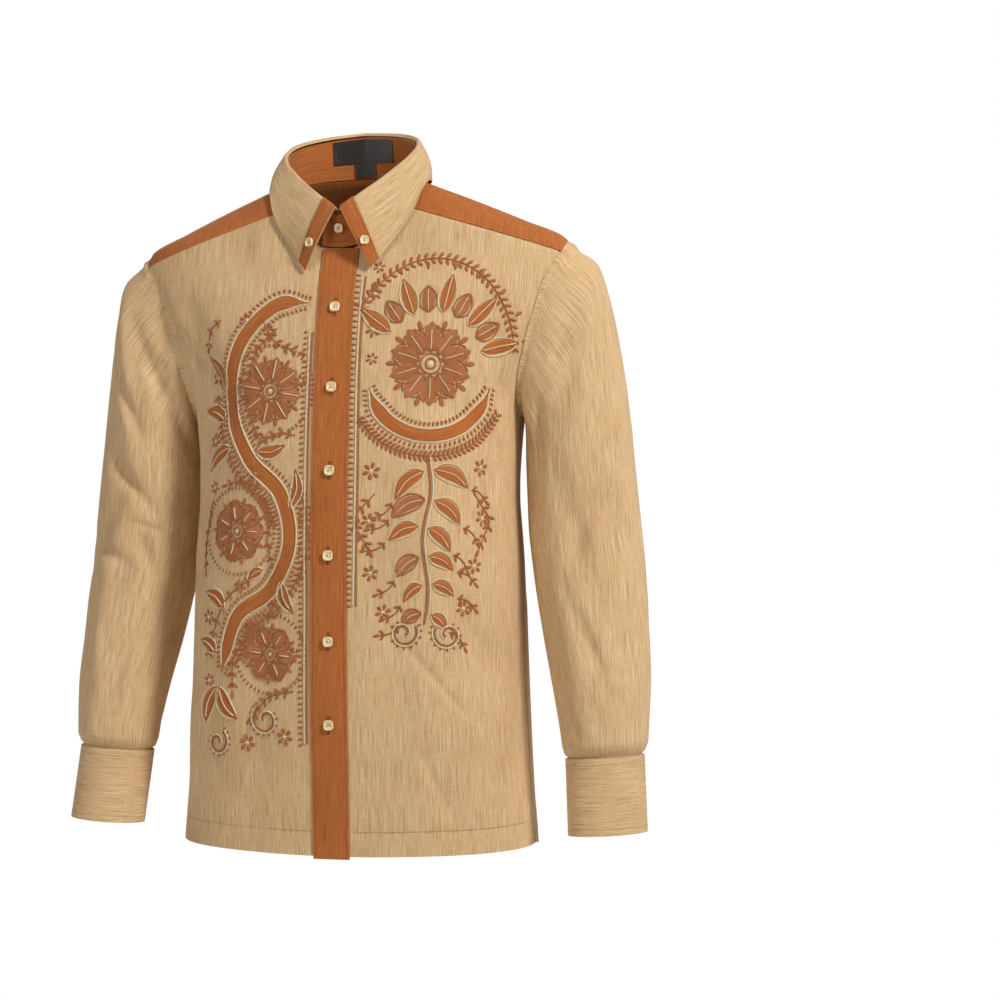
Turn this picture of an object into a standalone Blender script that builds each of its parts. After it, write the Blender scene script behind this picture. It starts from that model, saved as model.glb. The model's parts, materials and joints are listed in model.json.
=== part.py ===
"""A long-sleeved linen shirt, filled out as if worn, with rust yoke, band, collar stand and edges.

The origin is the middle of the wearer's neck at the height of the side of the neck.
+Z is up, -Y is the front and +X is the wearer's left. Sizes are in metres.
"""

from math import cos, pi, radians, sin

import bmesh
import bpy
import numpy as np
from mathutils import Matrix

GARMENT = "linen_shirt"

# Cloth
WALL = 0.0013
STAND_WALL = 0.0016
FALL_WALL = 0.0015
CUFF_WALL = 0.0017
TRIM_WALL = 0.0011
SEAM_GAP = 0.00036
LIE_GAP = 0.0004
LEAST_SLANT = 0.72
SHARP_ANGLE = radians(40)

# Body
HEM_SIDE_Z = -0.729
HEM_FRONT_DROP = 0.010
HEM_BACK_DROP = 0.014
VENT_TOP_Z = -0.672
VENT_SPREAD = 0.0025
VENT_REACH_TURN = 0.2
HEM_QUARTER = 0.27
UNDERARM_Z = -0.257
BAND_WIDTH = 0.041
BAND_LAP = 0.005
BAND_DROP = 0.003
UNDER_LAP = 0.034
FRONT_NECK_Z = -0.075
BACK_YOKE_Z = -0.168

# Rings round the body, from above the nape to the hem
RING_COLUMNS = ("z", "half_width", "y_front", "y_side", "y_back", "square")
RINGS = (
    (0.026, 0.034, -0.012, -0.006, 0.023, 2.0),
    (0.013, 0.064, -0.040, -0.023, 0.035, 2.1),
    (0.000, 0.088, -0.058, -0.034, 0.050, 2.2),
    (-0.020, 0.137, -0.063, -0.031, 0.068, 2.4),
    (-0.045, 0.195, -0.067, -0.026, 0.083, 2.6),
    (-0.066, 0.240, -0.071, -0.020, 0.092, 2.6),
    (-0.088, 0.250, -0.078, -0.015, 0.099, 2.5),
    (-0.130, 0.240, -0.092, -0.008, 0.107, 2.4),
    (-0.180, 0.216, -0.102, -0.002, 0.112, 2.4),
    (-0.250, 0.188, -0.110, 0.000, 0.114, 2.4),
    (-0.340, 0.183, -0.117, 0.000, 0.110, 2.4),
    (-0.420, 0.188, -0.121, 0.000, 0.108, 2.4),
    (-0.560, 0.193, -0.120, 0.000, 0.112, 2.4),
    (-0.670, 0.198, -0.113, 0.000, 0.118, 2.4),
    (-0.760, 0.205, -0.108, 0.000, 0.122, 2.4),
)

# Armhole: an oval seen from the side, cut through the body's form
ARMHOLE_Z = -0.1635
ARMHOLE_HALF_HEIGHT = 0.0935
ARMHOLE_FRONT_REACH = 0.048
ARMHOLE_BACK_REACH = 0.066
LOOP_SEGMENTS = 24
YOKE_FRONT_STEP = 2
YOKE_BACK_STEP = -7

# Neckline, fold and outer edge of the collar, from the front (0) to the nape (1)
COLLAR_COLUMNS = (
    "share", "neck_x", "neck_z", "fold_x", "fold_y", "fold_z", "edge_x", "edge_z",
)
COLLAR = (
    (0.00, 0.000, -0.075, 0.003, -0.0835, -0.034, 0.037, -0.1000),
    (0.10, 0.021, -0.072, 0.020, -0.0775, -0.020, 0.048, -0.0860),
    (0.20, 0.041, -0.063, 0.038, -0.0690, -0.005, 0.059, -0.0700),
    (0.30, 0.058, -0.049, 0.055, -0.0590, 0.011, 0.070, -0.0530),
    (0.40, 0.074, -0.030, 0.068, -0.0475, 0.026, 0.079, -0.0370),
    (0.50, 0.083, -0.007, 0.073, -0.0340, 0.038, 0.087, -0.0140),
    (0.55, 0.086, 0.001, 0.072, -0.0260, 0.043, 0.091, -0.0010),
    (0.60, 0.076, 0.005, 0.070, -0.0180, 0.048, 0.087, 0.0000),
    (0.70, 0.063, 0.010, 0.061, -0.0050, 0.055, 0.073, 0.0015),
    (0.85, 0.036, 0.016, 0.036, 0.0120, 0.063, 0.042, 0.0030),
    (1.00, 0.000, 0.019, 0.000, 0.0190, 0.067, 0.000, 0.0040),
)
SIDE_OF_NECK = 0.55
NECK_CENTRE_Y = -0.035
YOKE_NECK_SHARE = 0.40
YOKE_CORNER_SHARE = 0.84
NECK_HALF_LENGTH = 0.21
STAND_LAP_SHARE = 0.10
STAND_LAP_GAP = 0.0011
STAND_LAP_EASE = 0.25
STAND_LIFT = 0.0014
STAND_TOP = 0.955
STAND_CORNER = 0.12
STAND_DIP = 0.045
FALL_SEAT = 0.0006
FOLD_RISE = 0.0036
FOLD_REACH = 0.0062
FOLD_END_RISE = 0.0008
FALL_CREST = 0.12
FALL_TURNED = 0.24
FALL_SWELL = 0.004
FALL_DOWNS = (0.0, 0.12, 0.24, 0.42, 0.62, 0.82, 1.0)
STRIP_DOWNS = (0.14, 0.24, 0.42, 0.62, 0.82, 1.0)
EDGE_CLEARANCE = 0.0030
EDGE_STRIP = 0.016
FALL_HALF_LENGTH = 0.19
FALL_FLARE = 0.02

# Sleeve: a tube beside the body, from the armhole to the cuff
SLEEVE_COLUMNS = ("z", "x_outer", "x_inner", "y_front", "y_back")
SLEEVE = (
    (-0.060, 0.2440, 0.1900, -0.052, 0.026),
    (-0.075, 0.2620, 0.1905, -0.054, 0.030),
    (-0.095, 0.2745, 0.1910, -0.056, 0.036),
    (-0.125, 0.2840, 0.1920, -0.058, 0.045),
    (-0.165, 0.2925, 0.1925, -0.058, 0.056),
    (-0.220, 0.3010, 0.1925, -0.056, 0.067),
    (-0.290, 0.3105, 0.1915, -0.052, 0.072),
    (-0.370, 0.3195, 0.1930, -0.051, 0.072),
    (-0.430, 0.3255, 0.2000, -0.055, 0.067),
    (-0.500, 0.3290, 0.2130, -0.062, 0.055),
    (-0.560, 0.3320, 0.2260, -0.068, 0.040),
    (-0.605, 0.3310, 0.2350, -0.068, 0.026),
    (-0.640, 0.3270, 0.2405, -0.066, 0.016),
)
ARMHOLE_STEP = 0.0060
SLEEVE_BLEND = 0.30
SLEEVE_WIDEN_RATE = 1.6
SLEEVE_CALM_TOP = 0.10
SLEEVE_CALM_END = 0.94
SLEEVE_ROWS = 16
SLEEVE_END_Z = -0.6180

# Cuff
CUFF_TOP_Z = -0.6305
CUFF_BOTTOM_Z = -0.7120
CUFF_TOP_CENTRE = (0.2840, -0.0240)
CUFF_BOTTOM_CENTRE = (0.2900, -0.0395)
CUFF_HALF_WIDTH = 0.0430
CUFF_HALF_DEPTH = 0.0385
CUFF_LAP = radians(34)
CUFF_START = radians(-62)
CUFF_SEGMENTS = 30
CUFF_ROWS = 5
# The lap rises to lie over the cuff between these turns before its end
CUFF_RISE_START = 0.9
CUFF_RISE_LENGTH = 0.8
# Where the sleeve tucks into the cuff: share of the cuff's height, distance out from its form
CUFF_TUCK = ((-0.055, 0.0006), (-0.028, -0.0022), (0.035, -0.0036))

# Band over the sleeve slit
SLIT_TURN = radians(-58)
SLIT_TOP_Z = -0.512
SLIT_END_RISE = 0.006
SLIT_BAND_WIDTH = 0.024
SLIT_BAND_ROWS = 9
SLIT_BUTTON_ROW = 2
SLEEVE_RADIUS = 0.052
SLEEVE_HEAD_Z = -0.10
SLEEVE_CHORD_DIP = 0.0006

# Buttons
FRONT_BUTTONS_Z = (-0.142, -0.230, -0.321, -0.413, -0.506, -0.596)
BUTTON_SIZE = 0.0120
BUTTON_THICK = 0.0026
BUTTON_CORNER = 0.28
BUTTON_RIM = 0.3
ROUND_BUTTON_SIDES = 14
BUTTON_LIFT = 0.0005
SMALL_BUTTON_SIZE = 0.0105
CUFF_BUTTON_SIZE = 0.0105
CUFF_BUTTON_SHARES = (0.26, 0.60)
STAND_BUTTON_UP = 0.52

# Label and size tab inside the neck
LABEL_WIDTH = 0.064
LABEL_TOP = 0.91
LABEL_BOTTOM = 0.36
TAB_WIDTH = 0.022
TAB_TOP = 0.34
TAB_BOTTOM = 0.02

# Largest folds in the body: each runs between two places, given as turn and height.
# Turn: 0 nape, 1 left side, 2 front, -1 right side, -2 front. A depth over 0 is a trough.
BODY_FOLD_COLUMNS = ("turn_a", "z_a", "turn_b", "z_b", "half_width", "depth")
BODY_FOLDS = (
    (1.30, -0.105, 1.44, -0.245, 0.016, 0.0050),
    (-1.30, -0.105, -1.46, -0.255, 0.017, 0.0055),
    (1.20, -0.290, 1.62, -0.235, 0.015, 0.0035),
    (-1.20, -0.300, -1.58, -0.225, 0.015, 0.0035),
    (1.42, -0.470, 1.22, -0.560, 0.014, 0.0040),
    (1.78, -0.300, 1.66, -0.730, 0.026, 0.0035),
    (1.40, -0.560, 1.36, -0.735, 0.020, -0.0040),
    (-1.74, -0.330, -1.62, -0.735, 0.026, 0.0040),
    (-1.36, -0.400, -1.30, -0.735, 0.022, -0.0035),
    (-1.12, -0.430, -1.10, -0.700, 0.016, 0.0030),
    (1.10, -0.380, 1.06, -0.640, 0.016, 0.0030),
    (0.72, -0.180, 0.80, -0.320, 0.018, 0.0045),
    (-0.72, -0.180, -0.80, -0.330, 0.018, 0.0050),
    (0.55, -0.300, 0.62, -0.735, 0.028, 0.0045),
    (-0.52, -0.280, -0.60, -0.735, 0.030, 0.0050),
    (0.10, -0.330, 0.05, -0.735, 0.034, 0.0040),
    (0.46, -0.075, 0.44, -0.150, 0.012, 0.0030),
    (-0.46, -0.075, -0.44, -0.150, 0.012, 0.0030),
)

# Largest folds in a sleeve, for the wearer's left. Turn in degrees: 0 outer side, 90 front.
SLEEVE_FOLD_COLUMNS = ("turn_a", "z_a", "turn_b", "z_b", "half_width", "depth")
SLEEVE_FOLDS = (
    (50, -0.120, 100, -0.270, 0.017, 0.0060),
    (25, -0.180, 80, -0.350, 0.015, 0.0045),
    (70, -0.330, 20, -0.440, 0.016, 0.0050),
    (110, -0.300, 75, -0.480, 0.015, 0.0050),
    (30, -0.450, 65, -0.560, 0.014, 0.0040),
    (95, -0.500, 85, -0.620, 0.011, 0.0035),
    (-60, -0.140, -110, -0.280, 0.017, 0.0060),
    (-95, -0.260, -50, -0.400, 0.016, 0.0050),
    (-45, -0.400, -95, -0.520, 0.015, 0.0045),
    (-10, -0.260, -15, -0.480, 0.018, 0.0035),
    (-20, -0.560, -24, -0.632, 0.009, 0.0035),
    (35, -0.580, 33, -0.632, 0.009, 0.0030),
    (140, -0.430, 130, -0.600, 0.014, 0.0035),
    (-140, -0.420, -150, -0.600, 0.014, 0.0035),
)

# Grid counts
SIDE_ROWS = 16
FRONT_NECK_COLUMNS = 5
FRONT_YOKE_COLUMNS = 7
BACK_COLUMNS = 20
QUARTER_SAMPLES = 49
FOLD_SAMPLES = 9
FOLD_END_SHARE = 0.06
FOLD_FADE_POWER = 0.7
FALL_COLUMNS = 40
STAND_COLUMNS = 44

MATERIALS = {
    "linen": ((0.62, 0.42, 0.22), 0.85),
    "rust_linen": ((0.45, 0.13, 0.035), 0.85),
    "label": ((0.02, 0.02, 0.02), 0.8),
    "button": ((0.78, 0.62, 0.36), 0.3),
    "cuff_button": ((0.45, 0.24, 0.08), 0.3),
}


def by_column(columns, rows):
    """Turn a table's rows into one array for each named column, lowest first value first."""
    table = np.array(sorted(rows), dtype=float)
    return {name: table[:, place] for place, name in enumerate(columns)}


def smooth(at, knots, values):
    """Read a column at any place, with a cubic that never overshoots its rows."""
    at = np.clip(np.asarray(at, dtype=float), knots[0], knots[-1])
    steps = np.diff(knots)
    slopes = np.diff(values) / steps
    product = slopes[:-1] * slopes[1:]
    total = slopes[:-1] + slopes[1:]
    inner = np.where(product > 0, 2 * product / np.where(total == 0, 1, total), 0)
    tangents = np.concatenate(([slopes[0]], inner, [slopes[-1]]))
    place = np.clip(np.searchsorted(knots, at) - 1, 0, len(knots) - 2)
    step = steps[place]
    t = (at - knots[place]) / step
    rise = t * t * (3 - 2 * t)
    return (
        values[place] * (1 - rise)
        + values[place + 1] * rise
        + tangents[place] * step * (t - 2 * t * t + t ** 3)
        + tangents[place + 1] * step * (t ** 3 - t * t)
    )


def ease(share):
    """Go from 0 to 1 with level ends."""
    share = np.clip(share, 0, 1)
    return share * share * (3 - 2 * share)


BODY = by_column(RING_COLUMNS, RINGS)
TUBE = by_column(SLEEVE_COLUMNS, SLEEVE)
NECK = by_column(COLLAR_COLUMNS, COLLAR)
STAND_SHARES = np.linspace(-STAND_LAP_SHARE, 2 + STAND_LAP_SHARE, STAND_COLUMNS + 1)


def quarter(z, front):
    """Sample a quarter of the body's ring, from the side to the middle of front or back."""
    half = smooth(z, BODY["z"], BODY["half_width"])[..., None]
    side = smooth(z, BODY["z"], BODY["y_side"])[..., None]
    y_front = smooth(z, BODY["z"], BODY["y_front"])[..., None]
    y_back = smooth(z, BODY["z"], BODY["y_back"])[..., None]
    power = 2 / smooth(z, BODY["z"], BODY["square"])[..., None]
    middle = np.where(np.asarray(front)[..., None], y_front, y_back)
    angle = np.linspace(0, pi / 2, QUARTER_SAMPLES)
    x = half * np.abs(np.cos(angle)) ** power
    y = side + (middle - side) * np.sin(angle) ** power
    length = np.zeros_like(x)
    length[..., 1:] = np.cumsum(np.hypot(np.diff(x), np.diff(y)), axis=-1)
    return x, y, length / length[..., -1:]


def form(turn, z):
    """Place points on the body's plain form, at a turn round it and a height."""
    turn, z = np.broadcast_arrays(np.asarray(turn, dtype=float), np.asarray(z, dtype=float))
    wrapped = np.where(np.abs(turn) > 2, -np.sign(turn) * (4 - np.abs(turn)), turn)
    front = np.abs(wrapped) > 1
    share = np.abs(np.abs(wrapped) - 1)
    x, y, length = quarter(z, front)
    place = np.clip((length < share[..., None]).sum(axis=-1), 1, QUARTER_SAMPLES - 1)

    def pick(samples, offset):
        return np.take_along_axis(samples, (place + offset)[..., None], axis=-1)[..., 0]

    low, high = pick(length, -1), pick(length, 0)
    part = (share - low) / (high - low)
    across = pick(x, -1) * (1 - part) + pick(x, 0) * part
    deep = pick(y, -1) * (1 - part) + pick(y, 0) * part
    return np.stack((across * np.where(wrapped < 0, -1, 1), deep, z), axis=-1)


def turn_at(z, front, x=None, y=None):
    """Find the turn, on the wearer's left, where the ring at z has this x or this y."""
    xs, ys, length = quarter(np.asarray(z, dtype=float), front)
    if x is not None:
        share = np.interp(-x, -xs, length)
    elif front:
        share = np.interp(-y, -ys, length)
    else:
        share = np.interp(y, ys, length)
    return 1 + share if front else 1 - share


def unit(vectors):
    return vectors / np.linalg.norm(vectors, axis=-1, keepdims=True)


def form_normal(turn, z):
    """Find the outward direction of the body's plain form."""
    nudge_turn, nudge_z = 0.02, 0.003
    round_way = form(turn + nudge_turn, z) - form(turn - nudge_turn, z)
    upward = form(turn, z + nudge_z) - form(turn, z - nudge_z)
    return unit(np.cross(round_way, upward)) * -1


def fold_lines(rows, columns, surface):
    """Turn a table of folds into lines on a surface."""
    lines = []
    for row in rows:
        fold = dict(zip(columns, row))
        share = np.linspace(0, 1, FOLD_SAMPLES)
        turn = fold["turn_a"] + (fold["turn_b"] - fold["turn_a"]) * share
        z = fold["z_a"] + (fold["z_b"] - fold["z_a"]) * share
        lines.append((surface(turn, z), fold["half_width"], fold["depth"]))
    return lines


def fold_depth(points, lines):
    """Add up how far the folds move each point in, fading towards each fold's ends."""
    total = np.zeros(points.shape[:-1])
    for line, half_width, depth in lines:
        away = np.linalg.norm(points[..., None, :] - line, axis=-1)
        nearest = away.argmin(axis=-1)
        share = nearest / (FOLD_SAMPLES - 1)
        distance = away.min(axis=-1)
        for first in range(FOLD_SAMPLES - 1):
            start, end = line[first], line[first + 1]
            along = end - start
            t = np.clip(((points - start) @ along) / (along @ along), 0, 1)
            gap = np.linalg.norm(points - start - t[..., None] * along, axis=-1)
            closer = gap < distance
            distance = np.where(closer, gap, distance)
            share = np.where(closer, (first + t) / (FOLD_SAMPLES - 1), share)
        inside = np.clip(share, FOLD_END_SHARE, 1 - FOLD_END_SHARE)
        fade = np.sin(pi * inside) ** FOLD_FADE_POWER
        total += depth * fade * np.exp(-((distance / half_width) ** 2))
    return total


BODY_LINES = fold_lines(BODY_FOLDS, BODY_FOLD_COLUMNS, form)


def body(turn, z):
    """Place points on the body's outer side, folds included."""
    turn, z = np.broadcast_arrays(np.asarray(turn, dtype=float), np.asarray(z, dtype=float))
    plain = form(turn, z)
    return plain - form_normal(turn, z) * fold_depth(plain, BODY_LINES)[..., None]


def armhole(step):
    """Give turn and height of a place on the left armhole: 0 is the top, 12 the underarm."""
    angle = 2 * pi * step / LOOP_SEGMENTS
    z = ARMHOLE_Z + ARMHOLE_HALF_HEIGHT * cos(angle)
    side = float(smooth(z, BODY["z"], BODY["y_side"]))
    if step == 0 or abs(step) == LOOP_SEGMENTS // 2:
        return 1.0, z
    front = step > 0
    reach = ARMHOLE_FRONT_REACH if front else -ARMHOLE_BACK_REACH
    y = side - reach * sin(abs(angle))
    return float(turn_at(z, front, y=y)), z


def neckline(share):
    """Give turn and height of a place on the left half of the neckline, front 0 to nape 1."""
    z = float(smooth(share, NECK["share"], NECK["neck_z"]))
    x = float(smooth(share, NECK["share"], NECK["neck_x"]))
    front = share <= SIDE_OF_NECK
    return float(turn_at(z, front, x=x)), z


def yoke_front_seam():
    """List the front yoke seam on the wearer's left, from the neckline to the armhole."""
    neck_turn, neck_z = neckline(YOKE_NECK_SHARE)
    arm_turn, arm_z = armhole(YOKE_FRONT_STEP)
    neck_x = form(neck_turn, neck_z)[0]
    arm_x = form(arm_turn, arm_z)[0]
    places = []
    for share in np.linspace(0, 1, FRONT_YOKE_COLUMNS + 1):
        z = neck_z + (arm_z - neck_z) * share
        x = neck_x + (arm_x - neck_x) * share
        places.append((float(turn_at(z, True, x=x)), z))
    places[0] = (neck_turn, neck_z)
    places[-1] = (arm_turn, arm_z)
    return np.array(places)


def hem_z(turn):
    """Give the hem's height: lowest at the middle of the front and of the back."""
    away = np.abs(np.abs(turn) - 1)
    drop = np.where(np.abs(turn) > 1, HEM_FRONT_DROP, HEM_BACK_DROP)
    return HEM_SIDE_Z - drop * np.sin(away * pi / 2)


def side_seam():
    """List the heights of the side seam's places, hem to underarm."""
    return np.linspace(HEM_SIDE_Z, UNDERARM_Z, SIDE_ROWS + 1)


def coons(bottom, top, left, right):
    """Fill a patch from its four edges, each a list of turns and heights."""
    across = np.linspace(0, 1, len(bottom))[None, :, None]
    up = np.linspace(0, 1, len(left))[:, None, None]
    ruled_up = (1 - up) * bottom[None] + up * top[None]
    ruled_across = (1 - across) * left[:, None] + across * right[:, None]
    corners = (
        (1 - up) * (1 - across) * bottom[0]
        + (1 - up) * across * bottom[-1]
        + up * (1 - across) * top[0]
        + up * across * top[-1]
    )
    return ruled_up + ruled_across - corners


def front_turn(z, reach):
    """Find the turn on the front at this distance from the middle, towards the left side."""
    nudge = 0.1
    ring = form(np.array([2 - nudge, 2.0]), np.array([z, z]))
    per_turn = np.linalg.norm(ring[1] - ring[0]) / nudge
    return 2 - reach / per_turn


def front_panel(edge_reach):
    """Lay out the wearer's left front, from an edge near the middle to side and armhole."""
    rows = side_seam()
    arm = [armhole(step) for step in range(LOOP_SEGMENTS // 2 - 1, YOKE_FRONT_STEP - 1, -1)]
    right = np.array([(1.0, z) for z in rows] + arm)
    low = hem_z(2.0)
    heights = np.concatenate((
        np.linspace(low, UNDERARM_Z, SIDE_ROWS + 1),
        np.linspace(UNDERARM_Z, FRONT_NECK_Z, len(arm) + 1)[1:],
    ))
    left = np.array([(front_turn(z, edge_reach), z) for z in heights])
    edge_share = edge_reach / NECK_HALF_LENGTH
    shares = np.linspace(max(edge_share, 0), YOKE_NECK_SHARE, FRONT_NECK_COLUMNS + 1)
    neck = np.array([neckline(share) for share in shares])
    neck[0] = left[-1]
    if edge_share > 0:
        left[-1] = neck[0]
    top = np.concatenate((neck, yoke_front_seam()[1:]))
    turns = np.linspace(left[0][0], 1.0, len(top))
    bottom = np.stack((turns, hem_z(turns)), axis=-1)
    bottom[0], bottom[-1] = left[0], right[0]
    return coons(bottom, top, left, right)


def back_yoke_seam():
    """List the back yoke seam from the left armhole to the right one."""
    turn, z = armhole(YOKE_BACK_STEP)
    turns = np.linspace(turn, -turn, BACK_COLUMNS + 1)
    heights = BACK_YOKE_Z + (z - BACK_YOKE_Z) * (turns / turn) ** 2
    return np.stack((turns, heights), axis=-1)


def back_panel():
    """Lay out the back, from the left side to the right side."""
    rows = side_seam()
    steps = range(-LOOP_SEGMENTS // 2 + 1, YOKE_BACK_STEP + 1)
    arm = [armhole(step) for step in steps]
    left = np.array([(1.0, z) for z in rows] + arm)
    right = left * (-1, 1)
    turns = np.linspace(1.0, -1.0, BACK_COLUMNS + 1)
    bottom = np.stack((turns, hem_z(turns)), axis=-1)
    return coons(bottom, back_yoke_seam(), left, right)


def yoke_panel():
    """Lay out the yoke round the nape, from the left front seam to the right one."""
    seam = yoke_front_seam()
    arm = np.array([armhole(step) for step in range(YOKE_FRONT_STEP, YOKE_BACK_STEP - 1, -1)])
    outer = np.concatenate((arm, back_yoke_seam()[1:-1], (arm * (-1, 1))[::-1]))
    arm_share = np.linspace(YOKE_NECK_SHARE, YOKE_CORNER_SHARE, len(arm))
    back_share = np.linspace(YOKE_CORNER_SHARE, 2 - YOKE_CORNER_SHARE, BACK_COLUMNS + 1)[1:-1]
    share = np.concatenate((arm_share, back_share, 2 - arm_share[::-1]))
    inner = []
    for place in share:
        turn, z = neckline(min(place, 2 - place))
        inner.append((turn if place <= 1 else -turn, z))
    return coons(np.array(inner), outer, seam, seam * (-1, 1))


def mirrored(points):
    return points * np.array([-1, 1, 1])


def grid_normals(grid, closed):
    """Find the outward direction at each of a grid's points."""
    if closed:
        across = np.roll(grid, -1, axis=1) - np.roll(grid, 1, axis=1)
    else:
        across = np.gradient(grid, axis=1)
    up = np.gradient(grid, axis=0)
    return unit(np.cross(across, up))


class Panel:
    """A piece of cloth: a grid of outer points, outward directions and a wall's thickness."""

    def __init__(self, name, grid, wall, material, closed=False, gap=SEAM_GAP):
        self.name = name
        self.grid = np.array(grid)
        self.wall = wall
        self.material = material
        self.closed = closed
        self.gap = gap
        self.normals = grid_normals(self.grid, closed)
        self.stretch = np.ones(self.grid.shape[:2])

    def edge_places(self):
        rows, columns = self.grid.shape[:2]
        for row in range(rows):
            for column in range(columns):
                on_side = not self.closed and column in (0, columns - 1)
                if row in (0, rows - 1) or on_side:
                    yield row, column

    def pull_edges(self):
        """Draw the edges back from the seams by half a gap."""
        grid = self.grid
        rows, columns = grid.shape[:2]
        moved = grid.copy()
        for row, column in self.edge_places():
            here = grid[row, column]
            if self.closed:
                along = grid[row, (column + 1) % columns] - grid[row, column - 1]
            else:
                along = grid[row, min(column + 1, columns - 1)] - grid[row, max(column - 1, 0)]
            if row in (0, rows - 1):
                inward = grid[1 if row == 0 else rows - 2, column] - here
                inward = inward - unit(along) * (inward @ unit(along))
                moved[row, column] += unit(inward) * self.gap / 2
            if not self.closed and column in (0, columns - 1):
                along = grid[min(row + 1, rows - 1), column] - grid[max(row - 1, 0), column]
                inward = grid[row, 1 if column == 0 else columns - 2] - here
                inward = inward - unit(along) * (inward @ unit(along))
                moved[row, column] += unit(inward) * self.gap / 2
        self.grid = moved

    def build(self, collection):
        """Make the closed wall: outer side, inner side and rims."""
        inner = self.grid - self.normals * (self.wall * self.stretch)[..., None]
        rows, columns = self.grid.shape[:2]
        mesh = bpy.data.meshes.new(self.name)
        shell = bmesh.new()
        outer_verts = [[shell.verts.new(p) for p in line] for line in self.grid]
        inner_verts = [[shell.verts.new(p) for p in line] for line in inner]
        spans = columns if self.closed else columns - 1
        for row in range(rows - 1):
            for column in range(spans):
                after = (column + 1) % columns
                corners = ((row, column), (row, after), (row + 1, after), (row + 1, column))
                points = [self.grid[corner] for corner in corners]
                rising = np.linalg.norm(points[2] - points[0])
                falling = np.linalg.norm(points[3] - points[1])
                halves = ((0, 1, 2), (0, 2, 3)) if rising < falling else ((0, 1, 3), (1, 2, 3))
                for half in halves:
                    places = [corners[place] for place in half]
                    shell.faces.new([outer_verts[r][c] for r, c in places])
                    shell.faces.new([inner_verts[r][c] for r, c in reversed(places)])
        for column in range(spans):
            after = (column + 1) % columns
            shell.faces.new((
                inner_verts[0][column], inner_verts[0][after],
                outer_verts[0][after], outer_verts[0][column],
            ))
            shell.faces.new((
                outer_verts[-1][column], outer_verts[-1][after],
                inner_verts[-1][after], inner_verts[-1][column],
            ))
        if not self.closed:
            for row in range(rows - 1):
                shell.faces.new((
                    outer_verts[row][0], outer_verts[row + 1][0],
                    inner_verts[row + 1][0], inner_verts[row][0],
                ))
                shell.faces.new((
                    inner_verts[row][-1], inner_verts[row + 1][-1],
                    outer_verts[row + 1][-1], outer_verts[row][-1],
                ))
        bmesh.ops.recalc_face_normals(shell, faces=shell.faces)
        if shell.calc_volume(signed=True) < 0:
            bmesh.ops.reverse_faces(shell, faces=shell.faces)
        shell.to_mesh(mesh)
        shell.free()
        return finish_object(self.name, mesh, self.material, collection)


def finish_object(name, mesh, material, collection):
    mesh.shade_smooth()
    mesh.set_sharp_from_angle(angle=SHARP_ANGLE)
    mesh.materials.append(material)
    made = bpy.data.objects.new(name, mesh)
    collection.objects.link(made)
    return made


def share_normals(panels):
    """Give panels that meet at a point one direction there, so that their walls are mitred."""
    met = {}
    for panel in panels:
        for row, column in panel.edge_places():
            key = tuple(np.round(panel.grid[row, column] * 1e5).astype(int))
            met.setdefault(key, []).append((panel, row, column))
    for meetings in met.values():
        if len(meetings) < 2:
            continue
        together = unit(sum(p.normals[row, column] for p, row, column in meetings))
        for panel, row, column in meetings:
            slant = max(float(together @ panel.normals[row, column]), LEAST_SLANT)
            panel.stretch[row, column] = 1 / slant
        for panel, row, column in meetings:
            panel.normals[row, column] = together


def open_vent(places, sign):
    """Spread the side edge of a panel below the vent's top."""
    moved = places.copy()
    below = np.clip((VENT_TOP_Z - places[..., 1]) / (VENT_TOP_Z - HEM_SIDE_Z), 0, 1)
    near = np.clip(1 - np.abs(np.abs(places[..., 0]) - 1) / VENT_REACH_TURN, 0, 1)
    moved[..., 0] += sign * VENT_SPREAD / HEM_QUARTER * ease(below) * near
    return moved


def tube(angle, z):
    """Place points on the left sleeve's plain tube, at a turn in radians and a height."""
    outer = smooth(z, TUBE["z"], TUBE["x_outer"])
    inner = smooth(z, TUBE["z"], TUBE["x_inner"])
    front = smooth(z, TUBE["z"], TUBE["y_front"])
    back = smooth(z, TUBE["z"], TUBE["y_back"])
    x = (outer + inner) / 2 + (outer - inner) / 2 * np.cos(angle)
    y = (front + back) / 2 - (back - front) / 2 * np.sin(angle)
    return np.stack(np.broadcast_arrays(x, y, z), axis=-1)


def sleeve_lines(side):
    """List the folds of one sleeve; the right one's lie a little differently."""
    shift = 0 if side > 0 else 12
    rows = [(a + shift, za, b - shift / 2, zb, w, d) for a, za, b, zb, w, d in SLEEVE_FOLDS]
    return fold_lines(
        rows, SLEEVE_FOLD_COLUMNS, lambda turn, z: tube(np.radians(turn), np.asarray(z)),
    )


def end_calm(share):
    """Let the folds die out towards the cuff, from 1 to 0."""
    return 1 - ease((share - SLEEVE_CALM_END) / (1 - SLEEVE_CALM_END))


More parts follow.
